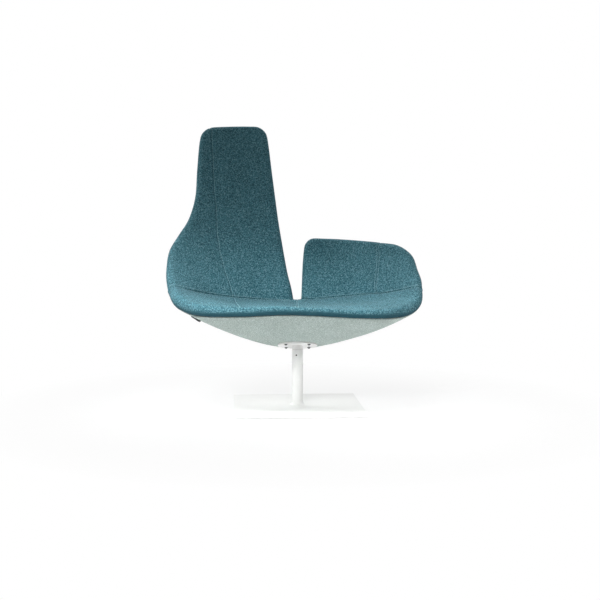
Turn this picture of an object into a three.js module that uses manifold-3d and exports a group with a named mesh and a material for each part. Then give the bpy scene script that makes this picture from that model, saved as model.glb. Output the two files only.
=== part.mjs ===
// Pedestal swivel armchair: a tall back on the sitter's right, a low wing on the other side,
// a pale shell under the seat, and one column on a square floor plate.
// Millimetres, +Z up. The origin is on the floor on the column's axis, and the seat faces -Y.
import * as THREE from 'three';
import { mergeVertices } from 'three/addons/utils/BufferGeometryUtils.js';
import Module from 'manifold-3d';

const wasm = await Module();
wasm.setup();

// Clearances
const fitGap = 0.3;
const softGap = 0.8;
const coverGap = 1.1;
const barGap = 0.4;
const cutOverrun = 2;

// Column, floor plate and glides
const baseTurn = THREE.MathUtils.degToRad(3.7);
const plateWidth = 500;
const plateThickness = 8;
const plateCornerRadius = 3;
const columnRadius = 21.2;
const columnWall = 3;
const columnTopHeight = 229;
const weldFilletSize = 12;
const glideRadius = 15;
const glideHeight = 3;
const glideStemRadius = 3;
const glideStemLength = 5;
const glideInset = 30;

// Flange that the shell is bolted to, and the hub that carries it over the column
const hubReach = 14;
const flangeTilt = THREE.MathUtils.degToRad(15);
const flangeHeight = columnTopHeight + hubReach;
const flangeRadius = 78;
const flangeThickness = 6;
const supportPlateRadius = 80;
const supportPlateThickness = 6;

// Driving sizes of the upholstered shell, on the middle surface of its pads
const halfWidth = 490;
const shellReach = 368;
const lipAboveFlange = 174;
const lipHeight = flangeHeight + lipAboveFlange;
const sideRise = 56;
const backRise = 688;
const wingRise = 217;
const padThickness = 44;
const lipDrop = 11;
const seatCornerRadius = 60;
const backCornerRadius = 28;
const wingInnerCornerRadius = 20;
const wingOuterCornerRadius = 60;
const coverThickness = 4;
const coverInset = 9;

// Under shell
const underShellWall = 6;
const underShellOverhang = 10;
const underShellRightOverhang = 11;
const underShellRearInset = 1.5;
const underShellFloorRadius = 102;
const linerOverrun = 7;

// Steel bars inside the pads
const frameBarRadius = 6;

// Swivel bearing
const spindleRadius = 12.5;
const spindleBottomHeight = 50;
const spindleTopClearance = 6;
const bushFlangeThickness = 2;
const upperBushLength = 40;
const lowerBushHeight = 62;
const lowerBushLength = 25;
const clipThickness = 1.5;
const clipReach = 3;
const clipSeatDepth = 1.5;

// Grub screw that keeps the spindle in the column
const grubDrop = 21;
const grubHeight = columnTopHeight - grubDrop;
const grubTurn = THREE.MathUtils.degToRad(-106);
const grubRadius = 3;
const grubSocketRadius = 1.7;
const grubSocketDepth = 3;
const grubSunk = 0.4;
const grubGrooveDepth = 2;
const grubGrooveHeight = 9;

// Flange screws, washers and nuts
const screwRadius = 3;
const screwSpacing = 90;
const screwHeadRadius = 5.5;
const screwHeadHeight = 3.2;
const screwCrownRadius = 3.3;
const screwSocketRadius = 2.2;
const screwSocketDepth = 2;
const washerRadius = 6.6;
const washerThickness = 1.2;
const nutRadius = 5.8;
const nutHeight = 5;
const screwEndBeyondNut = 1.5;

// Sewn tab on the left flank
const tabLength = 36;
const tabWidth = 16;
const tabThickness = 1.6;

// Facets
const roundFacets = 24;
const flangeFacets = 48;
const cornerFacets = 4;
const hexSides = 6;
const glideFacets = 16;
const smallFacets = 10;
const filletSteps = 4;
const barFacets = 6;
const barStepsPerPlace = 3;
const padEdgeSteps = 4;
const coverEdgeSteps = 1;
const skirtSteps = 4;
const stationCells = 10;
const seatCells = 7;
const tallCells = 14;
const wingCells = 7;

const teal = new THREE.Color(0x3f6f7a);
const paleGreen = new THREE.Color(0xb4c3ba);
const white = new THREE.Color(0xf0f0ee);
const steelGrey = new THREE.Color(0x8d9092);
const darkSteel = new THREE.Color(0x3a3d40);
const nylon = new THREE.Color(0xc9c9c4);
const foamCream = new THREE.Color(0xe3dcc0);
const black = new THREE.Color(0x17181a);

function finish(color, roughness, metalness) {
  return () => new THREE.MeshStandardMaterial({ color, roughness, metalness });
}

const tealFabric = finish(teal, 0.95, 0);
const paleFabric = finish(paleGreen, 0.95, 0);
const whitePowder = finish(white, 0.45, 0);
const plainSteel = finish(steelGrey, 0.4, 1);
const darkScrew = finish(darkSteel, 0.45, 0.9);
const plainNylon = finish(nylon, 0.5, 0);
const creamFoam = finish(foamCream, 0.9, 0);
const blackTape = finish(black, 0.9, 0);

// Rows of places on the middle surface, from the lip to the crease and on up the back.
// Each place is [across, along, up] in shares of half the width, the reach and a rise.
// Eight stations run from left to right: four up to the slit, and four from the slit on.
const seatRowShares = [
  [[-0.848, -0.64, 0.05], [-0.69, -0.79, -0.11], [-0.41, -0.925, -0.08], [-0.12, -0.99, 0.06],
    [0.12, -0.995, 0.02], [0.44, -0.95, -0.16], [0.68, -0.855, -0.19], [0.876, -0.625, -0.06]],
  [[-0.9, -0.53, 0.36], [-0.718, -0.503, -0.11], [-0.418, -0.53, -0.34], [-0.127, -0.557, -0.375],
    [0.122, -0.557, -0.39], [0.433, -0.543, -0.375], [0.71, -0.53, -0.2], [0.9, -0.525, 0.25]],
  [[-0.937, -0.408, 0.66], [-0.718, -0.217, -0.07], [-0.418, -0.095, -0.48], [-0.118, -0.095, -0.6],
    [0.114, -0.095, -0.59], [0.42, -0.136, -0.45], [0.71, -0.231, -0.05], [0.917, -0.416, 0.625]],
  [[-0.963, -0.285, 0.98], [-0.694, 0.106, 0.2], [-0.388, 0.299, -0.18], [-0.078, 0.359, -0.29],
    [0.076, 0.359, -0.25], [0.388, 0.217, 0.04], [0.684, 0.005, 0.39], [0.925, -0.299, 1]],
];

// Above the crease a row has its outer place, its place at the slit, and how far it bows
// back and up between them.
const tallBackRowShares = [
  { left: [-0.988, -0.141, 0.131], right: [-0.093, 0.375, 0.051], bow: [0.15, -0.02] },
  { left: [-1, 0.022, 0.196], right: [-0.125, 0.429, 0.138], bow: [0.13, -0.01] },
  { left: [-0.995, 0.204, 0.276], right: [-0.155, 0.503, 0.247], bow: [0.105, 0] },
  { left: [-0.94, 0.367, 0.356], right: [-0.181, 0.573, 0.349], bow: [0.08, 0] },
  { left: [-0.867, 0.516, 0.451], right: [-0.206, 0.647, 0.453], bow: [0.06, 0] },
  { left: [-0.818, 0.666, 0.589], right: [-0.233, 0.739, 0.589], bow: [0.045, 0] },
  { left: [-0.808, 0.788, 0.756], right: [-0.265, 0.853, 0.756], bow: [0.035, 0] },
  { left: [-0.794, 0.91, 0.93], right: [-0.297, 0.954, 0.93], bow: [0.025, 0] },
  { left: [-0.778, 0.96, 0.996], right: [-0.316, 0.995, 1.003], bow: [0.02, 0.004] },
];
const lowWingRowShares = [
  { left: [0.078, 0.408, 0.161], right: [0.925, -0.231, 0.378], bow: [0.1, -0.05] },
  { left: [0.084, 0.481, 0.507], right: [0.907, -0.114, 0.539], bow: [0.12, 0] },
  { left: [0.092, 0.53, 0.783], right: [0.884, 0.014, 0.752], bow: [0.14, 0.04] },
  { left: [0.104, 0.565, 1.03], right: [0.85, 0.1, 0.91], bow: [0.15, 0.018] },
];

const seatStations = seatRowShares[0].length;
const sideStations = seatStations / 2;
const slitStation = sideStations - 0.5;
const creaseRow = seatRowShares.length - 1;
const tallTopRow = creaseRow + tallBackRowShares.length;
const wingTopRow = creaseRow + lowWingRowShares.length;

function place([across, along, up], rise) {
  return new THREE.Vector3(across * halfWidth, along * shellReach, lipHeight + up * rise);
}

function rowCurve(places) {
  return new THREE.CatmullRomCurve3(places, false, 'centripetal');
}

// A row above the crease, with its two middle stations bowed off the straight line
function bowedRow(row, rise) {
  const left = place(row.left, rise);
  const right = place(row.right, rise);
  const bow = new THREE.Vector3(0, row.bow[0] * shellReach, row.bow[1] * rise);
  const places = [];
  for (let station = 0; station < sideStations; station += 1) {
    const middle = station > 0 && station < sideStations - 1;
    const point = left.clone().lerp(right, station / (sideStations - 1));
    places.push(middle ? point.add(bow) : point);
  }
  return rowCurve(places);
}

const seatRows = seatRowShares.map((row) => rowCurve(row.map((shares) => place(shares, sideRise))));
const tallBack = {
  first: 0,
  last: sideStations - 1,
  top: tallTopRow,
  rows: tallBackRowShares.map((row) => bowedRow(row, backRise)),
};
const lowWing = {
  first: sideStations,
  last: seatStations - 1,
  top: wingTopRow,
  rows: lowWingRowShares.map((row) => bowedRow(row, wingRise)),
};

// One smooth line over the shell at a station, from the lip to the top
const columnCurves = new Map();
function columnCurve(station) {
  if (!columnCurves.has(station)) {
    const side = station < slitStation ? tallBack : lowWing;
    const along = Math.max((station - side.first) / (side.last - side.first), 0);
    const seatPlaces = seatRows.map((row) => row.getPoint(station / (seatStations - 1)));
    const backPlaces = side.rows.map((row) => row.getPoint(along));
    columnCurves.set(station, rowCurve([...seatPlaces, ...backPlaces]));
  }
  return columnCurves.get(station);
}

function shellPoint(station, row) {
  const curve = columnCurve(station);
  return curve.getPoint(row / (curve.points.length - 1));
}

// Point, normal and unit directions of the middle surface. The normal faces the sitter.
const slopeStep = 0.01;
function shellFrame(station, row) {
  const side = station < slitStation ? tallBack : lowWing;
  const stationLow = Math.max(station - slopeStep, side.first);
  const stationHigh = Math.min(station + slopeStep, side.last);
  const rowLow = Math.max(row - slopeStep, 0);
  const rowHigh = Math.min(row + slopeStep, side.top);
  const across = shellPoint(stationHigh, row).sub(shellPoint(stationLow, row)).normalize();
  const along = shellPoint(station, rowHigh).sub(shellPoint(station, rowLow)).normalize();
  const normal = across.clone().cross(along).normalize();
  return { point: shellPoint(station, row), across, along, normal };
}

// Steps that lie closer together towards both ends
function easedSteps(from, to, count) {
  const steps = [];
  for (let i = 0; i <= count; i += 1) {
    const even = i / count;
    const eased = (1 - Math.cos(Math.PI * even)) / 2;
    steps.push(from + (to - from) * (even + eased) / 2);
  }
  return steps;
}

const tallStations = easedSteps(tallBack.first, tallBack.last, stationCells);
const wingStations = easedSteps(lowWing.first, lowWing.last, stationCells);

// Millimetres per station, or per row, just inside a border place
const probe = 0.12;
function spacing(station, row, stationStep, rowStep) {
  const inside = shellPoint(station + stationStep * probe, row + rowStep * probe);
  return inside.distanceTo(shellPoint(station, row)) / probe;
}

// A round corner at the grid's left or right end and at its bottom or top
function roundCorner({ stations, lines }, isRight, isTop, radius) {
  const station = isRight ? stations.at(-1) : stations[0];
  const row = isTop ? lines.at(-1) : lines[0];
  const inStation = isRight ? -1 : 1;
  const inRow = isTop ? -1 : 1;
  const wide = spacing(station, row, inStation, 0) * inStation / radius;
  const tall = spacing(station, row, 0, inRow) * inRow / radius;
  return { station, row, wide, tall };
}

// Where a place of the grid comes to lie: the square at a round corner is bent onto a quarter
// disc. A border place faces sideways and endways by the shares that go with it.
function roundedPlace(station, row, corners) {
  for (const corner of corners) {
    const x = 1 - (station - corner.station) * corner.wide;
    const y = 1 - (row - corner.row) * corner.tall;
    if (x > 0 && y > 0) {
      const sideways = x * Math.sqrt(1 - y * y / 2);
      const endways = y * Math.sqrt(1 - x * x / 2);
      return {
        station: corner.station + (1 - sideways) / corner.wide,
        row: corner.row + (1 - endways) / corner.tall,
        sideways,
        endways,
      };
    }
  }
  return { station, row };
}

// The grid's border, counterclockwise as the sitter sees it, with the side each border place is on
function borderOf(columns, lines) {
  const border = [];
  for (let i = 0; i < columns; i += 1) border.push([i, 0, 'bottom']);
  for (let j = 0; j < lines; j += 1) border.push([columns, j, 'right']);
  for (let i = columns; i > 0; i -= 1) border.push([i, lines, 'top']);
  for (let j = lines; j > 0; j -= 1) border.push([0, j, 'left']);
  return border;
}

function outwardOf(frame, side) {
  const edgeDirection = side === 'left' || side === 'right' ? frame.along : frame.across;
  const crossing = side === 'left' || side === 'right' ? frame.across : frame.along;
  const sign = side === 'left' || side === 'bottom' ? -1 : 1;
  const lean = edgeDirection.clone().multiplyScalar(crossing.dot(edgeDirection));
  return crossing.clone().sub(lean).normalize().multiplyScalar(sign);
}

// Outward direction at a border place. At a round corner it turns from one side's to the
// other's, and where one side is butted to a neighbour it runs along the joint.
function borderOutward(frame, i, j, { stations, lines, butted }) {
  const columns = stations.length - 1;
  const rows = lines.length - 1;
  const sides = [];
  if (i === 0) sides.push('left');
  if (i === columns) sides.push('right');
  if (j === 0) sides.push('bottom');
  if (j === rows) sides.push('top');
  const free = sides.filter((side) => !butted.includes(side));
  const isFree = free.length > 0;
  if (isFree && free.length < sides.length) {
    return { outward: frame.across.clone().multiplyScalar(i === 0 ? -1 : 1), isFree, sides };
  }
  const outward = new THREE.Vector3();
  if (frame.sideways === undefined) {
    for (const side of sides) outward.add(outwardOf(frame, side));
  } else {
    outward.addScaledVector(outwardOf(frame, i < columns / 2 ? 'left' : 'right'), frame.sideways);
    outward.addScaledVector(outwardOf(frame, j < rows / 2 ? 'bottom' : 'top'), frame.endways);
  }
  return { outward: outward.normalize(), isFree, sides };
}

// A closed form as it is put together from points, triangles and four-cornered faces
function newForm() {
  const positions = [];
  const triangles = [];
  return {
    add: (point) => positions.push(point.x, point.y, point.z) / 3 - 1,
    triangle: (a, b, c) => triangles.push(a, b, c),
    quad: (a, b, c, d) => triangles.push(a, b, c, a, c, d),
    geometry: () => indexedGeometry(positions, triangles),
  };
}

function indexedGeometry(positions, triangles) {
  const geometry = new THREE.BufferGeometry();
  geometry.setAttribute('position', new THREE.Float32BufferAttribute(positions, 3));
  geometry.setIndex(triangles);
  return geometry;
}

function addGridFaces(form, grid, facesSitter) {
  for (let i = 0; i < grid.length - 1; i += 1) {
    for (let j = 0; j < grid[i].length - 1; j += 1) {
      const corners = [grid[i][j], grid[i + 1][j], grid[i + 1][j + 1], grid[i][j + 1]];
      if (!facesSitter) corners.push(...corners.splice(1, 3).reverse());
      form.quad(...corners);
    }
  }
}

function framesOver({ stations, lines, corners }) {
  return stations.map((station) => lines.map((line) => {
    const spot = roundedPlace(station, line, corners);
    return { ...spot, ...shellFrame(spot.station, spot.row) };
  }));
}

// Middle places of a slab, with its butted sides set back
function slabMiddle(frames, border, { offset, butted, setback }) {
  const middle = frames.map((column) => column.map((frame) => (
    frame.point.clone().addScaledVector(frame.normal, offset))));
  border.forEach(({ i, j, sides }) => {
    for (const side of sides.filter((name) => butted.includes(name))) {
      middle[i][j].addScaledVector(outwardOf(frames[i][j], side), -setback);
    }
  });
  return middle;
}

// How much lower the seat's front stands at the lip than on the rest of the pad
const lipRows = 1.6;
function dropAt({ station, row }) {
  const towardsLip = Math.max(1 - row / lipRows, 0);
  return lipDrop * towardsLip ** 2 * Math.sin(Math.PI * station / (seatStations - 1));
}

// A slab about the middle surface, with round free edges. offset moves its middle along
// the normal, and butted sides stand back from the neighbour by setback.
function slabGeometry(pad, { half, offset = 0, edge, steps, setback }) {
  const frames = framesOver(pad);
  const border = borderOf(pad.stations.length - 1, pad.lines.length - 1).map(([i, j, side]) => (
    { i, j, side, ...borderOutward(frames[i][j], i, j, pad) }));
  const middle = slabMiddle(frames, border, { offset, butted: pad.butted, setback });
  const form = newForm();
  const faceAt = (side) => frames.map((column, i) => column.map((frame, j) => (
    form.add(middle[i][j].clone().addScaledVector(frame.normal, side * heightOf(frame, side))))));
  const heightOf = (frame, side) => (side > 0 ? half - dropAt(frame) : half);
  const front = faceAt(1);
  const back = faceAt(-1);
  addGridFaces(form, front, true);
  addGridFaces(form, back, false);

  const rings = border.map(({ i, j, outward, isFree }) => {
    const ring = [front[i][j]];
    for (let step = 1; step < steps; step += 1) {
      const angle = Math.PI * step / steps;
      const rise = Math.cos(angle);
      ring.push(form.add(middle[i][j].clone()
        .addScaledVector(frames[i][j].normal, heightOf(frames[i][j], rise) * rise)
        .addScaledVector(outward, isFree ? edge * Math.sin(angle) : 0)));
    }
    return [...ring, back[i][j]];
  });
  rings.forEach((ring, place) => {
    const next = rings[(place + 1) % rings.length];
    for (let step = 0; step < steps; step += 1) {
      const corners = [ring[step], ring[step + 1], next[step + 1], next[step]];
      if (border[place].side === 'top') corners.push(corners.shift());
      form.quad(...corners);
    }
  });
  return form.geometry();
}

// A closed mesh as a solid, and a solid as a mesh
function solidOf(geometry) {
  const bare = geometry.clone();
  bare.deleteAttribute('normal');
  bare.deleteAttribute('uv');
  const merged = mergeVertices(bare);
  return new wasm.Manifold(new wasm.Mesh({
    numProp: 3,
    vertProperties: new Float32Array(merged.getAttribute('position').array),
    triVerts: new Uint32Array(merged.getIndex().array),
  }));
}

function geometryOf(solid) {
  const mesh = solid.getMesh();
  return indexedGeometry(Array.from(mesh.vertProperties), Array.from(mesh.triVerts));
}

function cutBy(solid, cutters) {
  return cutters.reduce((rest, cutter) => rest.subtract(cutter), solid);
}

// Pads. A cutter is the same pad with a clearance all round.
const padHalf = padThickness / 2;
const seatGrid = {
  stations: [...tallStations, ...wingStations],
  lines: easedSteps(0, creaseRow, seatCells),
  butted: ['top'],
};
const backGrid = {
  stations: tallStations,
  lines: easedSteps(creaseRow, tallTopRow, tallCells),
  butted: ['bottom'],
};
const wingGrid = {
  stations: wingStations,
  lines: easedSteps(creaseRow, wingTopRow, wingCells),
  butted: ['bottom'],
};
// Each corner is at the right end or not, at the top or not, and has a radius
const seatCorners = [[false, false, seatCornerRadius], [true, false, seatCornerRadius]];
const backCorners = [[false, true, backCornerRadius], [true, true, backCornerRadius]];
const wingCorners = [[false, true, wingInnerCornerRadius], [true, true, wingOuterCornerRadius]];
const pads = {
  seat_pad: withCorners(seatGrid, ...seatCorners),
  high_back_pad: withCorners(backGrid, ...backCorners),
  low_wing_pad: withCorners(wingGrid, ...wingCorners),
};

function withCorners(grid, ...corners) {
  return { ...grid, corners: corners.map((corner) => roundCorner(grid, ...corner)) };
}

function padSolid(pad, half, setback) {
  return solidOf(slabGeometry(pad, { half, edge: half, steps: padEdgeSteps, setback }));
}

// A rear cover follows its pad with the free sides drawn in
function coverGeometry({ stations, lines, butted }, ...corners) {
  const [first, last, top] = [stations[0], stations.at(-1), lines.at(-1)];
  const middleRow = (lines[0] + top) / 2;
  const middleStation = (first + last) / 2;
  const drawnIn = {
    stations: easedSteps(
      first + coverInset / spacing(first, middleRow, 1, 0),
      last - coverInset / spacing(last, middleRow, -1, 0),
      stationCells,
    ),
    lines: easedSteps(lines[0], top - coverInset / spacing(middleStation, top, 0, -1), lines.length - 1),
    butted,
  };
  const half = coverThickness / 2;
  return slabGeometry(withCorners(drawnIn, ...corners), {
    half,
    offset: -(padHalf + coverGap + half),
    edge: half,
    steps: coverEdgeSteps,
    setback: softGap,
  });
}

// Flange plane, tilted up at the front about the column's axis
const flangeNormal = new THREE.Vector3(0, Math.sin(flangeTilt), Math.cos(flangeTilt));
const shellFloor = flangeThickness + fitGap;

function onFlangePlane(angle, radius, lift) {
  const inPlane = new THREE.Vector3(radius * Math.cos(angle), radius * Math.sin(angle), lift);
  return inPlane.applyAxisAngle(new THREE.Vector3(1, 0, 0), -flangeTilt)
    .add(new THREE.Vector3(0, 0, flangeHeight));
}

// Skirt under the seat. Each line leaves the pad's underside at a border place, bellies out
// and runs down to a round floor on the flange plane. shrink draws it in for the inside of
// a wall. The right flank is a little fuller than the left and reaches further out, and
// the rim reaches out most where the pad lies flat.
const skirtBulgeShare = 0.43;
const rightFullnessShare = 0.1;
const seatFrames = framesOver(pads.seat_pad);
const skirtBorder = borderOf(seatFrames.length - 1, seatFrames[0].length - 1);
const skirtFloor = (angle, radius, shrink) => onFlangePlane(angle, radius - shrink, shellFloor + shrink);

function skirtReach([i, j], shrink) {
  const frame = seatFrames[i][j];
  const { outward, isFree } = borderOutward(frame, i, j, pads.seat_pad);
  const rightward = Math.max(frame.point.x / halfWidth, 0);
  const overhang = (underShellOverhang + underShellRightOverhang * rightward) * frame.normal.z ** 2;
  return outward.multiplyScalar((isFree ? overhang : -underShellRearInset) - shrink);
}

function skirtLine([i, j], shrink) {
  const frame = seatFrames[i][j];
  const rim = frame.point.clone().add(skirtReach([i, j], shrink))
    .addScaledVector(frame.normal, shrink - padHalf - softGap - coverThickness);
  const angle = Math.atan2(rim.y, rim.x);
  const floor = skirtFloor(angle, underShellFloorRadius, shrink);
  const planDistance = Math.hypot(rim.x - floor.x, rim.y - floor.y);
  const share = skirtBulgeShare + rightFullnessShare * Math.max(Math.cos(angle), 0);
  const belly = skirtFloor(angle, underShellFloorRadius + planDistance * share, shrink);
  return new THREE.QuadraticBezierCurve3(rim, belly, floor).getPoints(skirtSteps);
}

// Closed form from the seat's middle surface down over the skirt. lift raises its top.
function bellySolid(shrink, lift) {
  const form = newForm();
  const top = seatFrames.map((column) => column.map((frame) => (
    frame.point.clone().addScaledVector(frame.normal, lift))));
  skirtBorder.forEach(([i, j]) => top[i][j].add(skirtReach([i, j], shrink)));
  const topIndex = top.map((column) => column.map(form.add));
  addGridFaces(form, topIndex, true);

  const skirt = skirtBorder.map(([i, j]) => (
    [topIndex[i][j], ...skirtLine([i, j], shrink).map(form.add)]));
  const centre = form.add(skirtFloor(0, shrink, shrink));
  skirt.forEach((line, place) => {
    const next = skirt[(place + 1) % skirt.length];
    for (let step = 0; step < line.length - 1; step += 1) {
      form.quad(line[step], line[step + 1], next[step + 1], next[step]);
    }
    form.triangle(centre, next.at(-1), line.at(-1));
  });
  return solidOf(form.geometry());
}

// A solid in the flange's own directions, moved to where the flange is
function tiltedSolid(geometry) {
  const moved = geometry.clone();
  moved.rotateX(-flangeTilt);
  moved.translate(0, 0, flangeHeight);
  return solidOf(moved);
}

// Upright cylinder from one height to another
function post(radius, bottom, top, facets = smallFacets) {
  const geometry = new THREE.CylinderGeometry(radius, radius, top - bottom, facets);
  geometry.rotateX(Math.PI / 2);
  geometry.translate(0, 0, (top + bottom) / 2);
  return geometry;
}

// Turned shape about Z from [radius, height] places, listed up the outside and down the inside
function turnedShape(places, facets = roundFacets) {
  const outline = places.map(([radius, height]) => new THREE.Vector2(radius, height));
  outline.push(outline[0].clone());
  const geometry = new THREE.LatheGeometry(outline, facets);
  geometry.rotateX(Math.PI / 2);
  return geometry;
}

function ringShape(outer, inner, bottom, top, facets = roundFacets) {
  return turnedShape([[inner, bottom], [outer, bottom], [outer, top], [inner, top]], facets);
}

const chair = new THREE.Group();
const base = new THREE.Group();
base.rotation.z = baseTurn;
const seat = new THREE.Group();
const flange = new THREE.Group();
flange.position.z = flangeHeight;
flange.rotation.x = -flangeTilt;
seat.add(flange);
chair.add(base, seat);

function addPiece(parent, name, geometry, material) {
  const piece = new THREE.Mesh(geometry, material());
  piece.name = name;
  parent.add(piece);
  return piece;
}

// Floor plate on its glides
const plateBottom = glideHeight + fitGap;
const plateTop = plateBottom + plateThickness;
const glideReach = plateWidth / 2 - glideInset;
const glidePlaces = {
  glide_front_left: [-glideReach, -glideReach],
  glide_front_right: [glideReach, -glideReach],
  glide_rear_left: [-glideReach, glideReach],
  glide_rear_right: [glideReach, glideReach],
  glide_center: [0, 0],
};

function roundedSquare(width, radius) {
  const reach = width / 2 - radius;
  const outline = new THREE.Shape();
  outline.absarc(reach, reach, radius, 0, Math.PI / 2);
  outline.absarc(-reach, reach, radius, Math.PI / 2, Math.PI);
  outline.absarc(-reach, -reach, radius, Math.PI, Math.PI * 1.5);
  outline.absarc(reach, -reach, radius, Math.PI * 1.5, Math.PI * 2);
  return outline;
}

function buildFloorPlate() {
  const slab = new THREE.ExtrudeGeometry(roundedSquare(plateWidth, plateCornerRadius), {
    depth: plateThickness,
    bevelEnabled: false,
    curveSegments: cornerFacets,
  });
  slab.translate(0, 0, plateBottom);
  const holes = Object.values(glidePlaces).map(([x, y]) => {
    const holeTop = glideHeight + glideStemLength + fitGap;
    const hole = post(glideStemRadius + fitGap, plateBottom - cutOverrun, holeTop);
    hole.translate(x, y, 0);
    return solidOf(hole);
  });
  addPiece(base, 'base_plate', geometryOf(cutBy(solidOf(slab), holes)), whitePowder);
}

function buildGlides() {
  for (const [name, [x, y]] of Object.entries(glidePlaces)) {
    const glide = turnedShape([
      [0, 0], [glideRadius, 0], [glideRadius, glideHeight], [glideStemRadius, glideHeight],
      [glideStemRadius, glideHeight + glideStemLength], [0, glideHeight + glideStemLength],
    ], glideFacets);
    addPiece(base, name, glide, plainNylon).position.set(x, y, 0);
  }
}

// Hole through the column's wall and the upper bush, where the grub screw runs in
const columnBore = columnRadius - columnWall;
const grubTip = spindleRadius - grubGrooveDepth + 2 * fitGap;
const grubEnd = columnRadius - grubSunk;

function grubPlaced(geometry) {
  geometry.rotateY(Math.PI / 2);
  geometry.rotateZ(grubTurn);
  geometry.translate(0, 0, grubHeight);
  return geometry;
}

function buildColumn() {
  const hole = solidOf(grubPlaced(post(grubRadius + fitGap, grubTip, columnRadius + cutOverrun)));
  const columnBottom = plateTop + fitGap;
  const tube = ringShape(columnRadius, columnBore, columnBottom, columnTopHeight);
  addPiece(base, 'column_tube', geometryOf(solidOf(tube).subtract(hole)), whitePowder);

  const filletInner = columnRadius + fitGap;
  const filletArc = [];
  for (let step = 0; step <= filletSteps; step += 1) {
    const angle = Math.PI + step / filletSteps * Math.PI / 2;
    filletArc.push([
      filletInner + weldFilletSize * (1 + Math.cos(angle)),
      columnBottom + weldFilletSize * (1 + Math.sin(angle)),
    ]);
  }
  addPiece(base, 'weld_fillet', turnedShape([[filletInner, columnBottom], ...filletArc.reverse()]), whitePowder);

  const bushBore = spindleRadius + fitGap;
  const bushOuter = columnBore - fitGap;
  const flangeBottom = columnTopHeight + fitGap;
  const bush = turnedShape([
    [bushBore, columnTopHeight - upperBushLength], [bushOuter, columnTopHeight - upperBushLength],
    [bushOuter, flangeBottom], [columnRadius, flangeBottom],
    [columnRadius, flangeBottom + bushFlangeThickness], [bushBore, flangeBottom + bushFlangeThickness],
  ]);
  addPiece(base, 'upper_bush', geometryOf(solidOf(bush).subtract(hole)), plainNylon);
  const lowerBush = ringShape(bushOuter, bushBore, lowerBushHeight, lowerBushHeight + lowerBushLength);
  addPiece(base, 'lower_bush', lowerBush, plainNylon);

  const socket = grubPlaced(post(grubSocketRadius, grubEnd - grubSocketDepth, grubEnd + cutOverrun, hexSides));
  const grub = grubPlaced(post(grubRadius, grubTip, grubEnd));
  addPiece(base, 'grub_screw', geometryOf(solidOf(grub).subtract(solidOf(socket))), darkScrew);
}

// Spindle, hub and clip turn with the seat
const hubBottom = columnTopHeight + bushFlangeThickness + 2 * fitGap;
const clipTop = lowerBushHeight - fitGap;
const clipBottom = clipTop - clipThickness;
const clipSeatRadius = spindleRadius - clipSeatDepth;

function buildSpindle() {
  const grooveLow = grubHeight - grubGrooveHeight / 2;
  const grooveHigh = grubHeight + grubGrooveHeight / 2;
  const grooveRadius = spindleRadius - grubGrooveDepth;
  addPiece(seat, 'spindle', turnedShape([
    [0, spindleBottomHeight], [spindleRadius, spindleBottomHeight],
    [spindleRadius, clipBottom - fitGap], [clipSeatRadius, clipBottom - fitGap],
    [clipSeatRadius, clipTop + fitGap], [spindleRadius, clipTop + fitGap],
    [spindleRadius, grooveLow], [grooveRadius, grooveLow],
    [grooveRadius, grooveHigh], [spindleRadius, grooveHigh],
    [spindleRadius, flangeHeight - spindleTopClearance], [0, flangeHeight - spindleTopClearance],
  ]), plainSteel);
  addPiece(seat, 'spindle_clip', ringShape(
    spindleRadius + clipReach, clipSeatRadius + fitGap, clipBottom, clipTop, glideFacets,
  ), plainSteel);

  const aboveFlange = tiltedSolid(post(flangeRadius, -fitGap, flangeRadius));
  const hub = ringShape(columnRadius, spindleRadius + fitGap, hubBottom, flangeHeight + columnRadius);
  addPiece(seat, 'hub', geometryOf(solidOf(hub).subtract(aboveFlange)), whitePowder);
}

// Flange, its screws, the support plate inside the shell and the nuts on it
const supportBottom = shellFloor + underShellWall + fitGap;
const supportTop = supportBottom + supportPlateThickness;
const nutBottom = supportTop + fitGap;
const nutTop = nutBottom + nutHeight;
const screwEnd = nutTop + screwEndBeyondNut;
const screwPlaces = [[-1, -1], [1, -1], [1, 1], [-1, 1]].map(([x, y]) => [
  x * screwSpacing / 2, y * screwSpacing / 2,
]);

function screwHoles(bottom, top) {
  return screwPlaces.map(([x, y]) => {
    const hole = post(screwRadius + fitGap, bottom - cutOverrun, top + cutOverrun);
    hole.translate(x, y, 0);
    return hole;
  });
}

function holedDisc(radius, bottom, top, facets) {
  const disc = solidOf(post(radius, bottom, top, facets));
  return geometryOf(cutBy(disc, screwHoles(bottom, top).map(solidOf)));
}

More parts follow.
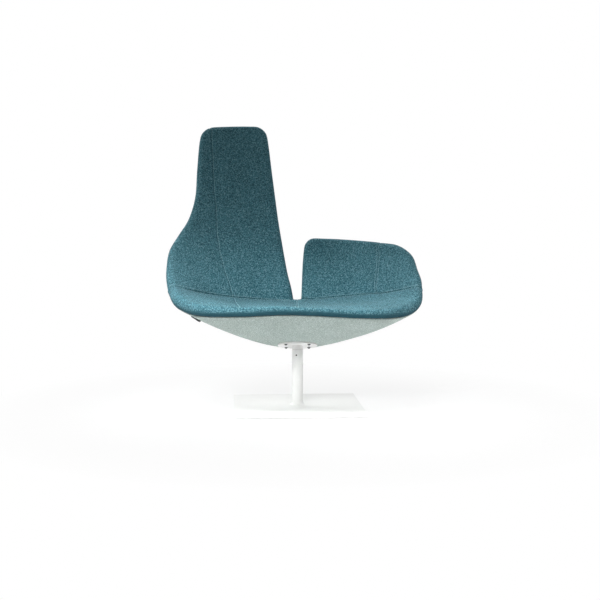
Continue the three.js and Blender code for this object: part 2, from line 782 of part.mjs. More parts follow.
function buildFlange() {
  addPiece(flange, 'flange_plate', holedDisc(flangeRadius, 0, flangeThickness, flangeFacets), whitePowder);
  addPiece(
    flange, 'support_plate', holedDisc(supportPlateRadius, supportBottom, supportTop, roundFacets), plainSteel,
  );
  const washerTop = -fitGap;
  const headTop = washerTop - washerThickness - fitGap;
  const headBottom = headTop - screwHeadHeight;
  screwPlaces.forEach(([x, y], place) => {
    const number = place + 1;
    const washer = ringShape(washerRadius, screwRadius + fitGap, headTop + fitGap, washerTop, smallFacets);
    addPiece(flange, `flange_washer_${number}`, washer, darkScrew).position.set(x, y, 0);
    const screw = solidOf(turnedShape([
      [0, headBottom], [screwCrownRadius, headBottom], [screwHeadRadius, headBottom + screwHeadHeight / 2],
      [screwHeadRadius, headTop], [screwRadius, headTop], [screwRadius, screwEnd], [0, screwEnd],
    ], smallFacets));
    const socket = solidOf(post(screwSocketRadius, headBottom - cutOverrun, headBottom + screwSocketDepth, hexSides));
    addPiece(flange, `flange_screw_${number}`, geometryOf(screw.subtract(socket)), darkScrew)
      .position.set(x, y, 0);
    const nut = solidOf(post(nutRadius, nutBottom, nutTop, hexSides));
    const bore = solidOf(post(screwRadius + fitGap, nutBottom - cutOverrun, nutTop + cutOverrun));
    addPiece(flange, `flange_nut_${number}`, geometryOf(nut.subtract(bore)), plainSteel)
      .position.set(x, y, 0);
  });
}

// Bars from the support plate, through the seat pad and round inside each pad's border.
// feet are shares of the support plate's radius, and way is station and row by hand.
const barRise = 22;
const frameBars = {
  seat_frame_bar: {
    feetShares: [[-0.72, -0.28], [0.72, -0.28]],
    way: [[2.1, 1.45], [1.3, 0.95], [0.8, 0.6], [1.15, 0.3], [2, 0.27], [3.5, 0.26],
      [5, 0.27], [5.85, 0.3], [6.2, 0.6], [5.7, 0.95], [4.9, 1.45]],
  },
  high_back_frame_bar: {
    feetShares: [[-0.72, 0.28], [-0.22, 0.76]],
    way: [[1.9, 2.2], [1.2, 2.55], [0.62, 2.9], [0.4, 3.8], [0.3, 5.5], [0.3, 8], [0.3, 10.3],
      [0.7, 11.35], [1.5, 11.5], [2.3, 11.35], [2.68, 10.3], [2.7, 8], [2.7, 5.5], [2.68, 3.8], [2.66, 2.85]],
  },
  low_wing_frame_bar: {
    feetShares: [[0.22, 0.76], [0.72, 0.28]],
    way: [[4.34, 2.85], [4.32, 3.8], [4.32, 5], [4.4, 6.1], [4.9, 6.5], [5.5, 6.5], [6.2, 6.3],
      [6.6, 5.6], [6.65, 4.5], [6.45, 3.2], [5.9, 2.6], [5.2, 2.2]],
  },
};

function footPlace([across, along], height) {
  const angle = Math.atan2(along, across);
  return onFlangePlane(angle, Math.hypot(across, along) * supportPlateRadius, height);
}

function barGeometry({ feetShares: [start, end], way }, radius) {
  const low = supportTop + fitGap;
  const inPads = way.map(([station, row]) => shellPoint(station, row));
  const curve = new THREE.CatmullRomCurve3([
    footPlace(start, low), footPlace(start, low + barRise),
    ...inPads,
    footPlace(end, low + barRise), footPlace(end, low),
  ], false, 'centripetal');
  const section = new THREE.Shape(new THREE.EllipseCurve(0, 0, radius, radius).getPoints(barFacets).slice(1));
  return new THREE.ExtrudeGeometry(section, {
    steps: way.length * barStepsPerPlace,
    extrudePath: curve,
    bevelEnabled: false,
  });
}

function buildUpholstery() {
  const bars = Object.values(frameBars);
  const barCutters = bars.map((bar) => solidOf(barGeometry(bar, frameBarRadius + barGap)));
  for (const [name, bar] of Object.entries(frameBars)) {
    addPiece(seat, name, barGeometry(bar, frameBarRadius), plainSteel);
  }
  for (const [name, pad] of Object.entries(pads)) {
    addPiece(seat, name, geometryOf(cutBy(padSolid(pad, padHalf, softGap / 2), barCutters)), tealFabric);
  }
  addPiece(seat, 'high_back_cover', coverGeometry(backGrid, ...backCorners), paleFabric);
  addPiece(seat, 'low_wing_cover', coverGeometry(wingGrid, ...wingCorners), paleFabric);

  const seatPad = padSolid(pads.seat_pad, padHalf, softGap / 2);
  const seatCutter = padSolid(pads.seat_pad, padHalf + softGap, -fitGap)
    .add(seatPad)
    .add(seatPad.translate(0, 0, -fitGap));
  const shellCutters = [bellySolid(underShellWall, linerOverrun), seatCutter];
  const floorHoles = screwHoles(0, supportBottom).map(tiltedSolid);
  const shell = cutBy(bellySolid(0, 0), [...shellCutters, ...floorHoles]);
  addPiece(seat, 'under_shell', geometryOf(shell), paleFabric);

  const plateRoom = tiltedSolid(post(supportPlateRadius + fitGap, -cutOverrun, supportTop + fitGap, roundFacets));
  const nutRooms = screwPlaces.map(([x, y]) => {
    const room = post(nutRadius + fitGap * 2, supportTop - cutOverrun, screwEnd + fitGap, hexSides);
    room.translate(x, y, 0);
    return tiltedSolid(room);
  });
  const core = cutBy(bellySolid(underShellWall + fitGap, 0), [seatCutter, plateRoom, ...nutRooms, ...barCutters]);
  addPiece(seat, 'foam_core', geometryOf(core), creamFoam);
}

// The tab lies flat on one face of the left flank, and hangs along the skirt
const tabBorderPlace = skirtBorder.length - 2;
const tabSkirtStep = 0;
function buildTab() {
  const line = skirtLine(skirtBorder[tabBorderPlace], 0);
  const next = skirtLine(skirtBorder[tabBorderPlace + 1], 0);
  const [a, b, c] = [line[tabSkirtStep], line[tabSkirtStep + 1], next[tabSkirtStep + 1]];
  const down = b.clone().sub(a).normalize();
  const outward = down.clone().cross(c.clone().sub(a)).normalize();
  const sideways = outward.clone().cross(down);
  const tab = new THREE.BoxGeometry(tabLength, tabWidth, tabThickness);
  const piece = addPiece(seat, 'side_tab', tab, blackTape);
  piece.quaternion.setFromRotationMatrix(new THREE.Matrix4().makeBasis(down, sideways, outward));
  piece.position.copy(a).add(b).add(c).divideScalar(3)
    .addScaledVector(outward, softGap + tabThickness);
}

buildFloorPlate();
buildGlides();
buildColumn();
buildSpindle();
buildFlange();
buildUpholstery();
buildTab();

export default chair;
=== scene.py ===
"""Pedestal swivel armchair: upholstery, swivel hardware, column and floor plate over the packed frame."""
import math

import bmesh
import bpy
import numpy as np
from bpy.props import FloatProperty, FloatVectorProperty, PointerProperty
from mathutils import Matrix, Vector
from mathutils.bvhtree import BVHTree


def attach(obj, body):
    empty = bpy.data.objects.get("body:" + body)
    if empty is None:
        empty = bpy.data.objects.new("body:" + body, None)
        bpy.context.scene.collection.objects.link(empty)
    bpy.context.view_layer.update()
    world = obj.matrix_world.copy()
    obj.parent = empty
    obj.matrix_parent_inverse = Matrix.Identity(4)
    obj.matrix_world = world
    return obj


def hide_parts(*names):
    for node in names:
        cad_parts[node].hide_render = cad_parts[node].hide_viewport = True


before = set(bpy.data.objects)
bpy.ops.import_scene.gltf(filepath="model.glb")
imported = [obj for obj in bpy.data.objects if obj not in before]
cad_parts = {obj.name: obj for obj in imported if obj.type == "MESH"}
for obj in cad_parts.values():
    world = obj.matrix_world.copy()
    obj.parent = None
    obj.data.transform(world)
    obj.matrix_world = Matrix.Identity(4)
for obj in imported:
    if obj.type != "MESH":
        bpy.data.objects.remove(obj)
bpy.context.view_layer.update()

bl_info = {
    "name": "Pedestal Swivel Armchair",
    "version": (1, 0, 0),
    "blender": (4, 5, 0),
    "location": "3D View > Sidebar > Armchair",
    "description": "Makes the armchair's upholstery, swivel, column and floor plate",
    "category": "Add Mesh",
}


# Sizes and colours

def length(name, metres, description):
    return FloatProperty(name=name, default=metres, description=description, unit="LENGTH", precision=4)


def angle(name, degrees, description):
    return FloatProperty(
        name=name, default=math.radians(degrees), description=description, subtype="ANGLE")


def colour(name, red_green_blue, description):
    return FloatVectorProperty(
        name=name, default=red_green_blue, description=description, subtype="COLOR", size=3, min=0, max=1)


class ChairUpholstery(bpy.types.PropertyGroup):
    """Sizes of the pads, their seams, the shell under them and the covers behind them"""
    half_width: length("Half width", 0.490, "From the middle to the outer edge of the pads' middle surface")
    reach: length("Reach", 0.368, "From the column's axis to the front of the pads' middle surface")
    lip_height: length("Lip height", 0.417, "Height of the front lip's middle surface")
    side_rise: length("Side rise", 0.056, "How far the seat's sides rise above the lip")
    back_rise: length("Back rise", 0.688, "How far the tall back rises above the lip")
    wing_rise: length("Wing rise", 0.217, "How far the low wing rises above the lip")
    pad_thickness: length("Pad thickness", 0.044, "Thickness of the foam pads")
    lip_drop: length("Lip drop", 0.0165, "How much thinner the seat pad is at the middle of its front lip")
    pan_dip: length("Dip behind the lip", 0.008, "How far the seat pad sinks just behind its front lip")
    lip_depth: length("Lip depth", 0.0028, "How much deeper the seat pad is along its front lip")
    flank_depth: length("Flank depth", 0.006, "How much deeper still it is at its front corners")
    seat_corner: length("Seat corner", 0.060, "Radius of the seat's front corners")
    back_corner: length("Back corner", 0.028, "Radius of the tall back's upper corners")
    wing_inner_corner: length("Wing inner corner", 0.020, "Radius of the wing's upper corner at the slit")
    wing_outer_corner: length("Wing outer corner", 0.060, "Radius of the wing's outer upper corner")
    slit_radius: length("Slit radius", 0.011, "Radius to which each side of the slit turns in at its foot")
    pad_cell: length("Pad cell", 0.009, "Size of the pads' mesh cells")
    pad_crown: length("Pad crown", 0.005, "How far a panel may swell between its seams")
    crown_reach: length("Crown reach", 0.045, "Distance from a seam or edge at which a panel swells freely")
    joint_roll: length("Joint roll", 0.0045, "Radius to which the pads' covers turn in at the crease")
    joint_gap: length("Joint gap", 0.0004, "Half the gap between two pads at the crease")
    seam_depth: length("Seam depth", 0.0022, "How deep a seam lies in its pad")
    seam_half_width: length("Seam half width", 0.0024, "How far a seam's hollow reaches to each side")
    stitch_length: length("Stitch length", 0.0064, "Length of one topstitch")
    stitch_pitch: length("Stitch pitch", 0.0076, "Distance from one topstitch to the next")
    stitch_width: length("Stitch width", 0.0012, "Thickness of the stitching thread")
    cover_thickness: length("Cover thickness", 0.004, "Thickness of the covers behind the back and the wing")
    cover_gap: length("Cover gap", 0.0008, "Gap between a pad and the cover behind it")
    cover_inset: length("Cover inset", 0.009, "How far a rear cover stands in from the pad's edge")
    shell_wall: length("Shell wall", 0.005, "Wall of the shell under the seat")
    shell_rim_height: length("Shell rim height", 0.003, "Height of the shell's straight rim")
    shell_overhang: length("Shell overhang", -0.004, "How far the rim reaches past the pad's middle edge")
    shell_side_overhang: length("Side overhang", 0.004, "How much further it reaches at the flanks")
    shell_right_overhang: length("Right overhang", 0.007, "How much further still it reaches on the right")
    shell_rear_inset: length("Shell rear inset", 0.0015, "How far the shell's rim stands in from the crease")
    shell_floor_radius: length("Shell floor radius", 0.102, "Radius of the flat under the shell")
    tab_tape: length("Tab tape", 0.0028, "Thickness of the tab's tape")
    tab_loop: length("Tab loop", 0.0021, "Radius of the loop at the tab's free end")
    tab_stitch: length("Tab stitch", 0.0026, "Length of one stitch on the tab")


class ChairSwivel(bpy.types.PropertyGroup):
    """Sizes of the flange, its screws and the hub"""
    flange_tilt: angle("Flange tilt", 15.0, "How far the flange is tilted up at the front")
    flange_height: length("Flange height", 0.243, "Height of the flange's underside on the column's axis")
    flange_radius: length("Flange radius", 0.078, "Radius of the flange")
    flange_thickness: length("Flange thickness", 0.006, "Thickness of the flange")
    fit_gap: length("Fit gap", 0.0003, "Gap between metal pieces that meet")
    screw_spacing: length("Screw spacing", 0.090, "Distance between two neighbouring flange screws")
    screw_radius: length("Screw radius", 0.003, "Radius of a flange screw's shank")
    screw_length: length("Screw length", 0.0253, "How far a shank reaches above the flange's underside")
    head_radius: length("Head radius", 0.0055, "Radius of a screw's head")
    head_height: length("Head height", 0.0032, "Height of a screw's head")
    socket_radius: length("Socket radius", 0.0022, "Radius of the hexagon socket in a head")
    socket_depth: length("Socket depth", 0.002, "Depth of the hexagon socket in a head")
    washer_radius: length("Washer radius", 0.0066, "Outer radius of a washer")
    washer_thickness: length("Washer thickness", 0.0012, "Thickness of a washer")


class ChairBase(bpy.types.PropertyGroup):
    """Sizes of the column, its foot and the floor plate"""
    base_turn: angle("Base turn", 3.7, "How far the floor plate is turned against the seat")
    plate_width: length("Plate width", 0.500, "Width and depth of the floor plate")
    plate_thickness: length("Plate thickness", 0.008, "Thickness of the floor plate")
    plate_corner: length("Plate corner", 0.003, "Radius of the plate's corners")
    plate_edge: length("Plate edge", 0.0009, "Radius of the plate's upper and lower edges")
    glide_height: length("Glide height", 0.003, "Height of the glides under the plate")
    glide_radius: length("Glide radius", 0.015, "Radius of a glide")
    glide_inset: length("Glide inset", 0.030, "Distance of the corner glides from the plate's edges")
    column_radius: length("Column radius", 0.0212, "Outer radius of the column")
    column_wall: length("Column wall", 0.003, "Wall of the column")
    column_top: length("Column top", 0.229, "Height of the column's upper end")
    foot_size: length("Foot size", 0.012, "Radius of the hollow flare at the column's foot")
    bush_lip: length("Bush lip", 0.002, "Thickness of the bush's lip between column and hub")
    bore_radius: length("Bore radius", 0.0128, "Radius of the bore in the hub and the bush")
    grub_height: length("Grub height", 0.208, "Height of the set screw")
    grub_radius: length("Grub radius", 0.003, "Radius of the set screw")
    grub_turn: angle("Grub turn", -106.0, "Direction of the set screw round the column")


class ChairColours(bpy.types.PropertyGroup):
    """Colours of the finishes"""
    teal: colour("Teal wool", (0.083, 0.241, 0.294), "Middle tone of the pads' fabric")
    teal_light: colour("Light fleck", (0.236, 0.455, 0.520), "Light fibres in the pads' fabric")
    teal_dark: colour("Dark fleck", (0.024, 0.087, 0.114), "Dark fibres in the pads' fabric")
    pale: colour("Pale wool", (0.550, 0.645, 0.610), "Middle tone of the fabric under and behind")
    pale_light: colour("Pale light fleck", (0.750, 0.835, 0.800), "Light fibres in the pale fabric")
    pale_dark: colour("Pale dark fleck", (0.330, 0.410, 0.385), "Dark fibres in the pale fabric")
    thread: colour("Thread", (0.360, 0.600, 0.650), "Topstitching on the pads")
    powder: colour("Powder coat", (0.870, 0.870, 0.860), "White coat of the metal parts")
    screw_steel: colour("Blackened steel", (0.050, 0.053, 0.057), "Flange screws and set screw")
    bare_steel: colour("Plated steel", (0.480, 0.490, 0.500), "Steel parts inside the chair")
    nylon: colour("Nylon", (0.720, 0.720, 0.700), "Bushes and glides")
    foam: colour("Foam", (0.760, 0.700, 0.520), "Filling under the seat")
    tape: colour("Black tape", (0.012, 0.012, 0.014), "Woven tab")


# Middle surface of the pads. Each place is [across, along, up] in shares of the half width,
# the reach and a rise. Eight stations run from left to right, four on each side of the slit.

SEAT_ROW_SHARES = [
    [[-0.848, -0.64, 0.05], [-0.69, -0.79, -0.11], [-0.41, -0.925, -0.08], [-0.12, -0.99, 0.06],
     [0.12, -0.995, 0.02], [0.44, -0.95, -0.16], [0.68, -0.855, -0.19], [0.876, -0.625, -0.06]],
    [[-0.9, -0.53, 0.36], [-0.718, -0.503, -0.11], [-0.418, -0.53, -0.34], [-0.127, -0.557, -0.375],
     [0.122, -0.557, -0.39], [0.433, -0.543, -0.375], [0.71, -0.53, -0.2], [0.9, -0.525, 0.25]],
    [[-0.937, -0.408, 0.66], [-0.718, -0.217, -0.07], [-0.418, -0.095, -0.48], [-0.118, -0.095, -0.6],
     [0.114, -0.095, -0.59], [0.42, -0.136, -0.45], [0.71, -0.231, -0.05], [0.917, -0.416, 0.625]],
    [[-0.955, -0.322, 0.83], [-0.694, 0.106, 0.2], [-0.388, 0.299, -0.18], [-0.078, 0.359, -0.29],
     [0.076, 0.359, -0.25], [0.388, 0.217, 0.04], [0.684, 0.005, 0.39], [0.922, -0.333, 0.86]],
]
# Above the crease: outer place, place at the slit, and the bow back and up between them
BACK_ROW_SHARES = [
    ([-0.988, -0.141, 0.131], [-0.093, 0.375, 0.051], [0.15, -0.02]),
    ([-1, 0.022, 0.196], [-0.125, 0.429, 0.138], [0.13, -0.01]),
    ([-0.995, 0.204, 0.276], [-0.155, 0.503, 0.247], [0.105, 0]),
    ([-0.94, 0.367, 0.356], [-0.181, 0.573, 0.349], [0.08, 0]),
    ([-0.867, 0.516, 0.451], [-0.206, 0.647, 0.453], [0.06, 0]),
    ([-0.818, 0.666, 0.589], [-0.233, 0.739, 0.589], [0.045, 0]),
    ([-0.808, 0.788, 0.756], [-0.265, 0.853, 0.756], [0.035, 0]),
    ([-0.794, 0.91, 0.93], [-0.297, 0.954, 0.93], [0.025, 0]),
    ([-0.778, 0.96, 0.996], [-0.316, 0.995, 1.003], [0.02, 0.004]),
]
WING_ROW_SHARES = [
    ([0.078, 0.408, 0.161], [0.925, -0.231, 0.378], [0.1, -0.05]),
    ([0.084, 0.481, 0.507], [0.907, -0.114, 0.539], [0.12, 0]),
    ([0.092, 0.53, 0.783], [0.884, 0.014, 0.752], [0.14, 0.04]),
    ([0.104, 0.565, 1.03], [0.85, 0.1, 0.91], [0.15, 0.018]),
]
SIDE_STATIONS = 4
LAST_STATION = 2 * SIDE_STATIONS - 1
CREASE_ROW = len(SEAT_ROW_SHARES) - 1
BACK_TOP_ROW = CREASE_ROW + len(BACK_ROW_SHARES)
WING_TOP_ROW = CREASE_ROW + len(WING_ROW_SHARES)

# Seams as [row, station] places, from the lip or the crease upwards
SEAT_LEFT_SEAM = [[0, 1.95], [0.9, 1.88], [1.95, 1.77], [2.7, 1.6], [3, 1.5]]
SEAT_MIDDLE_SEAM = [[0, 3.5], [3, 3.5]]
BACK_SEAM = [[3, 1.5], [3.44, 1.475], [4.32, 1.37], [5.42, 1.29], [6.56, 1.13], [8.22, 0.75],
             [9.2, 0.52], [10.32, 0.41], [11.2, 0.29], [12, 0.2]]
WING_SEAM = [[3, 5.94], [3.48, 5.97], [4.6, 6.09], [5.6, 6.18], [7, 6.3]]

# The joint is the pad's end at the crease (0 lower, 1 upper), and the slit its side there (0 first
# station, 1 last). A corner is given by its side, its end and a size's name.
PADS = {
    "seat": {"stations": (0, LAST_STATION), "rows": (0, CREASE_ROW), "joint": 1, "slit": None,
             "lip": True, "seams": [SEAT_LEFT_SEAM, SEAT_MIDDLE_SEAM],
             "corners": [(0, 0, "seat_corner"), (1, 0, "seat_corner")]},
    "back": {"stations": (0, SIDE_STATIONS - 1), "rows": (CREASE_ROW, BACK_TOP_ROW), "joint": 0, "slit": 1,
             "lip": False, "seams": [BACK_SEAM],
             "corners": [(0, 1, "back_corner"), (1, 1, "back_corner")]},
    "wing": {"stations": (SIDE_STATIONS, LAST_STATION), "rows": (CREASE_ROW, WING_TOP_ROW), "joint": 0,
             "slit": 0, "lip": False, "seams": [WING_SEAM],
             "corners": [(0, 1, "wing_inner_corner"), (1, 1, "wing_outer_corner")]},
}

# How finely the middle surface is sampled, and the steps over which its slopes are taken
ROW_SAMPLES = 60
HEIGHT_SAMPLES = 100
LEAST_LENGTH = 1e-12
SLOPE_STEP = 0.01
CORNER_PROBE = 0.12
# Mesh rows round a pad's free edges and down into its joint, the shares in half seam widths or cells
ROLL_STEPS = 7
COVER_ROLL_STEPS = 3
JOINT_STEPS = 4
JOINT_CAP_STEPS = 3
JOINT_MARGIN_SHARE = 1.5
JOINT_ROW_SHARES = (0.3, 0.7, 1.2, 1.8, 2.6)
SEAM_LINE_SHARES = (0.0, 0.35, 0.75, 1.3, 2.1, 3.2)
# Where the lip and the dip behind it lie, in rows
LIP_DROP_ROWS = 1.9
LIP_DROP_LEAN = 1.3
PAN_DIP_ROW = 0.42
PAN_DIP_SPAN = 0.24
SLIT_SPREAD = 0.045
# Painted shade: how the seams' hollows and the cloth that turns in under the lip are darkened in colour
SEAM_PAINTED_SHADE_SHARE = 0.7
UNDER_PAINTED_SHADE = 4.5
UNDER_START = 0.15
UNDER_FULL = 0.6
# The pull of a seam on the cloth beside it, and the small folds along it
PULL_SHARE = 0.35
PULL_REACH = 5
PUCKER_SHARE = 0.35
PUCKER_PITCH = 0.021


def spline(knots, share):
    """Places at shares 0 to 1 along centripetal splines through knots (count, 3) or (count, each, 3)."""
    knots = np.asarray(knots, float)
    if knots.ndim == 2:
        knots = np.repeat(knots[:, None, :], len(share), axis=1)
    count = len(knots)
    at = np.clip(share, 0, 1) * (count - 1)
    low = np.minimum(at.astype(int), count - 2)
    weight = (at - low)[:, None]
    before = 2 * knots[0] - knots[1]
    after = 2 * knots[-1] - knots[-2]
    padded = np.concatenate([before[None], knots, after[None]])
    each = np.arange(len(share))
    p0, p1, p2, p3 = (padded[low + step, each] for step in range(4))
    d0, d1, d2 = (np.sqrt(np.linalg.norm(b - a, axis=1, keepdims=True))
                  for a, b in ((p0, p1), (p1, p2), (p2, p3)))
    start = ((p1 - p0) / d0 - (p2 - p0) / (d0 + d1) + (p2 - p1) / d1) * d1
    end = ((p2 - p1) / d1 - (p3 - p1) / (d1 + d2) + (p3 - p2) / d2) * d1
    cubic = 2 * p1 - 2 * p2 + start + end
    square = 3 * p2 - 3 * p1 - 2 * start - end
    return p1 + start * weight + square * weight ** 2 + cubic * weight ** 3


def unit(vectors):
    return vectors / np.maximum(np.linalg.norm(vectors, axis=-1, keepdims=True), LEAST_LENGTH)


class PadSurface:
    """The pads' middle surface. Stations count from left to right and rows from the lip to the top."""

    def __init__(self, sizes):
        def place(shares, rise):
            across, along, up = shares
            return [across * sizes.half_width, along * sizes.reach, sizes.lip_height + up * rise]

        def bowed(left, right, bow, rise):
            ends = np.array([place(left, rise), place(right, rise)])
            lift = np.array([0, bow[0] * sizes.reach, bow[1] * rise])
            shares = np.linspace(0, 1, SIDE_STATIONS)
            places = [ends[0] + (ends[1] - ends[0]) * share for share in shares]
            return np.array([p + lift if 0 < k < SIDE_STATIONS - 1 else p for k, p in enumerate(places)])

        self.seat = [np.array([place(shares, sizes.side_rise) for shares in row]) for row in SEAT_ROW_SHARES]
        self.upper = {
            "back": [bowed(*row, sizes.back_rise) for row in BACK_ROW_SHARES],
            "wing": [bowed(*row, sizes.wing_rise) for row in WING_ROW_SHARES],
        }

    def on_side(self, side, station, row):
        """Places on the back's side of the surface or on the wing's."""
        first = 0 if side == "back" else SIDE_STATIONS
        along = np.clip((station - first) / (SIDE_STATIONS - 1), 0, 1)
        knots = [spline(line, station / LAST_STATION) for line in self.seat]
        knots += [spline(line, along) for line in self.upper[side]]
        return spline(np.stack(knots), row / (len(knots) - 1))

    def point(self, station, row):
        """Places on the surface. Between the two sides the seat runs on over the slit's foot."""
        to_wing = np.clip(station - (SIDE_STATIONS - 1), 0, 1)[:, None]
        back = self.on_side("back", station, row)
        wing = self.on_side("wing", station, row)
        return back * (1 - to_wing) + wing * to_wing

    def axes(self, station, row, top):
        """Place, normal towards the sitter, and unit directions across and along."""
        across = unit(self.point(np.minimum(station + SLOPE_STEP, LAST_STATION), row)
                      - self.point(np.maximum(station - SLOPE_STEP, 0), row))
        along = unit(self.point(station, np.minimum(row + SLOPE_STEP, top))
                     - self.point(station, np.maximum(row - SLOPE_STEP, 0)))
        return self.point(station, row), unit(np.cross(across, along)), across, along

    def row_length(self, row, stations):
        """Length of a row between two stations."""
        line = self.point(np.linspace(*stations, ROW_SAMPLES), np.full(ROW_SAMPLES, float(row)))
        return np.linalg.norm(np.diff(line, axis=0), axis=1).sum()

    def stretch(self, station, row, station_step, row_step):
        """Metres per station or per row near a place."""
        ends = self.point(np.array([station, station + station_step]), np.array([row, row + row_step]))
        return np.linalg.norm(ends[1] - ends[0]) / abs(station_step + row_step)


def without(vectors, direction):
    """Unit vectors with their part along direction taken out."""
    return unit(vectors - (vectors * direction).sum(-1, keepdims=True) * direction)


def outward_of(across, along, station, row, middle, sideways, endways):
    """Unit directions out of a border, away from a middle (station, row)."""
    side_sign = np.where(station < middle[0], -1, 1)[..., None]
    end_sign = np.where(row < middle[1], -1, 1)[..., None]
    return unit(without(across, along) * side_sign * sideways[..., None]
                + without(along, across) * end_sign * endways[..., None])


def depth_in_front(sizes, station, row):
    """How much deeper the seat pad is than its plain thickness, most at its front corners."""
    aside = np.abs(2 * station / LAST_STATION - 1) ** 4
    ahead = np.clip(1 - row / CREASE_ROW, 0, 1)
    return (sizes.lip_depth + sizes.flank_depth * aside) * ahead ** 2 * (3 - 2 * ahead)


def bend_corners(surface, corners, station, row, sideways, endways):
    """Bends the square at each round corner onto a quarter disc.

    corners holds (station, row, way into the pad in stations, in rows, radius). sideways and endways
    are one where a place is on such a border, and become its shares of the disc near a corner.
    """
    border = (sideways + endways) > 0
    for corner_station, corner_row, in_station, in_row, radius in corners:
        wide = surface.stretch(corner_station, corner_row, in_station * CORNER_PROBE, 0)
        tall = surface.stretch(corner_station, corner_row, 0, in_row * CORNER_PROBE)
        x = np.clip(1 - (station - corner_station) * in_station * wide / radius, 0, 1)
        y = np.clip(1 - (row - corner_row) * in_row * tall / radius, 0, 1)
        round_x, round_y = x * np.sqrt(1 - y * y / 2), y * np.sqrt(1 - x * x / 2)
        near = (x > 0) & (y > 0)
        station = np.where(near, corner_station + in_station * (1 - round_x) * radius / wide, station)
        row = np.where(near, corner_row + in_row * (1 - round_y) * radius / tall, row)
        sideways = np.where(near & border, round_x, sideways)
        endways = np.where(near & border, round_y, endways)
    return station, row, sideways, endways


# Mesh helpers

TURN_SEGMENTS = 96
SHARP_ANGLE = 35
WELD_DISTANCE = 1e-7
SHEET_WELD = 1e-6


def linked(name, data):
    """A new object at the origin, in the scene."""
    item = bpy.data.objects.new(name, data)
    bpy.context.scene.collection.objects.link(item)
    return item


def object_from(bm, name, material, smooth=True):
    """Makes an object at the origin from a bmesh, with its place in its mesh."""
    mesh = bpy.data.meshes.new(name)
    for face in bm.faces:
        face.smooth = smooth
    bm.to_mesh(mesh)
    bm.free()
    mesh.materials.append(material)
    return linked(name, mesh)


def shade_edges(piece, degrees=SHARP_ANGLE):
    """Keeps edges sharper than an angle crisp on a smooth piece."""
    piece.data.set_sharp_from_angle(angle=math.radians(degrees))


def apply_modifiers(piece):
    """Replaces a piece's mesh by the one its modifiers make."""
    graph = bpy.context.evaluated_depsgraph_get()
    finished = bpy.data.meshes.new_from_object(piece.evaluated_get(graph))
    piece.modifiers.clear()
    piece.data = finished
    return piece


def thicken(piece, thickness, offset, even=False):
    """Gives a sheet its wall."""
    wall = piece.modifiers.new("wall", "SOLIDIFY")
    wall.thickness = thickness
    wall.offset = offset
    wall.use_even_offset = even
    return apply_modifiers(piece)


def turned(bm, profile, segments=TURN_SEGMENTS):
    """Turns an outline of (radius, height) places about Z: a ring, or a line from axis to axis."""
    line = [bm.verts.new((radius, 0, height)) for radius, height in profile]
    after = [*line[1:], line[0]] if profile[0][0] > 0 else line[1:]
    edges = [bm.edges.new(pair) for pair in zip(line, after)]
    bmesh.ops.spin(
        bm, geom=[*line, *edges], cent=(0, 0, 0), axis=(0, 0, 1), dvec=(0, 0, 0),
        angle=math.tau, steps=segments, use_merge=True, use_duplicate=False)
    bmesh.ops.remove_doubles(bm, verts=bm.verts[:], dist=WELD_DISTANCE)
    bmesh.ops.recalc_face_normals(bm, faces=bm.faces[:])


def rounded(corner, before, after, radius, steps=4):
    """Places on a small arc that takes a corner of an outline off."""
    corner, before, after = (np.array(p, float) for p in (corner, before, after))
    start = corner + unit(before - corner) * radius
    end = corner + unit(after - corner) * radius
    shares = np.linspace(0, 1, steps + 1)
    return [tuple((1 - s) ** 2 * start + 2 * s * (1 - s) * corner + s ** 2 * end) for s in shares]


def soft_outline(places, radii):
    """An outline with each corner rounded by its radius, or left as it is where that is zero."""
    outline = []
    for k, (place, radius) in enumerate(zip(places, radii)):
        after = places[(k + 1) % len(places)]
        outline += rounded(place, places[k - 1], after, radius) if radius else [tuple(place)]
    return outline


def ring_outline(inner, outer, low, high, radii):
    """A square outline for a tube or a disc. Its corners run round from the lower inner one."""
    return soft_outline([(inner, low), (outer, low), (outer, high), (inner, high)], radii)


def cut(piece, cutters):
    """Cuts the cutters' shapes out of a piece and removes the cutters."""
    for cutter in cutters:
        modifier = piece.modifiers.new("cut", "BOOLEAN")
        modifier.operation = "DIFFERENCE"
        modifier.solver = "EXACT"
        modifier.object = cutter
    apply_modifiers(piece)
    for cutter in cutters:
        bpy.data.objects.remove(cutter)


def rod(radius, low, high, sides, place=Matrix.Identity(4)):
    """A plain rod for cutting a hole."""
    bm = bmesh.new()
    bmesh.ops.create_cone(
        bm, cap_ends=True, segments=sides, radius1=radius, radius2=radius, depth=high - low,
        matrix=place @ Matrix.Translation((0, 0, (low + high) / 2)))
    mesh = bpy.data.meshes.new("hole")
    bm.to_mesh(mesh)
    bm.free()
    return linked("hole", mesh)


def moved(piece, matrix):
    piece.data.transform(matrix)
    return piece


def turned_piece(name, finish, profile, segments=TURN_SEGMENTS, holes=(), place=Matrix.Identity(4),
                 sharp=SHARP_ANGLE):
    """A piece turned about Z, with its holes cut, laid at its place."""
    bm = bmesh.new()
    turned(bm, profile, segments)
    piece = object_from(bm, name, finish_of(finish))
    if holes:
        cut(piece, holes)
    moved(piece, place)
    shade_edges(piece, sharp)
    return piece


def dress(piece, body, slot, *nodes):
    """Puts a finished piece on its body in place of CAD nodes."""
    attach(piece, body)
    if nodes:
        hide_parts(*nodes)


# Materials. Pattern scales count cells per metre, and bumps are heights in metres.

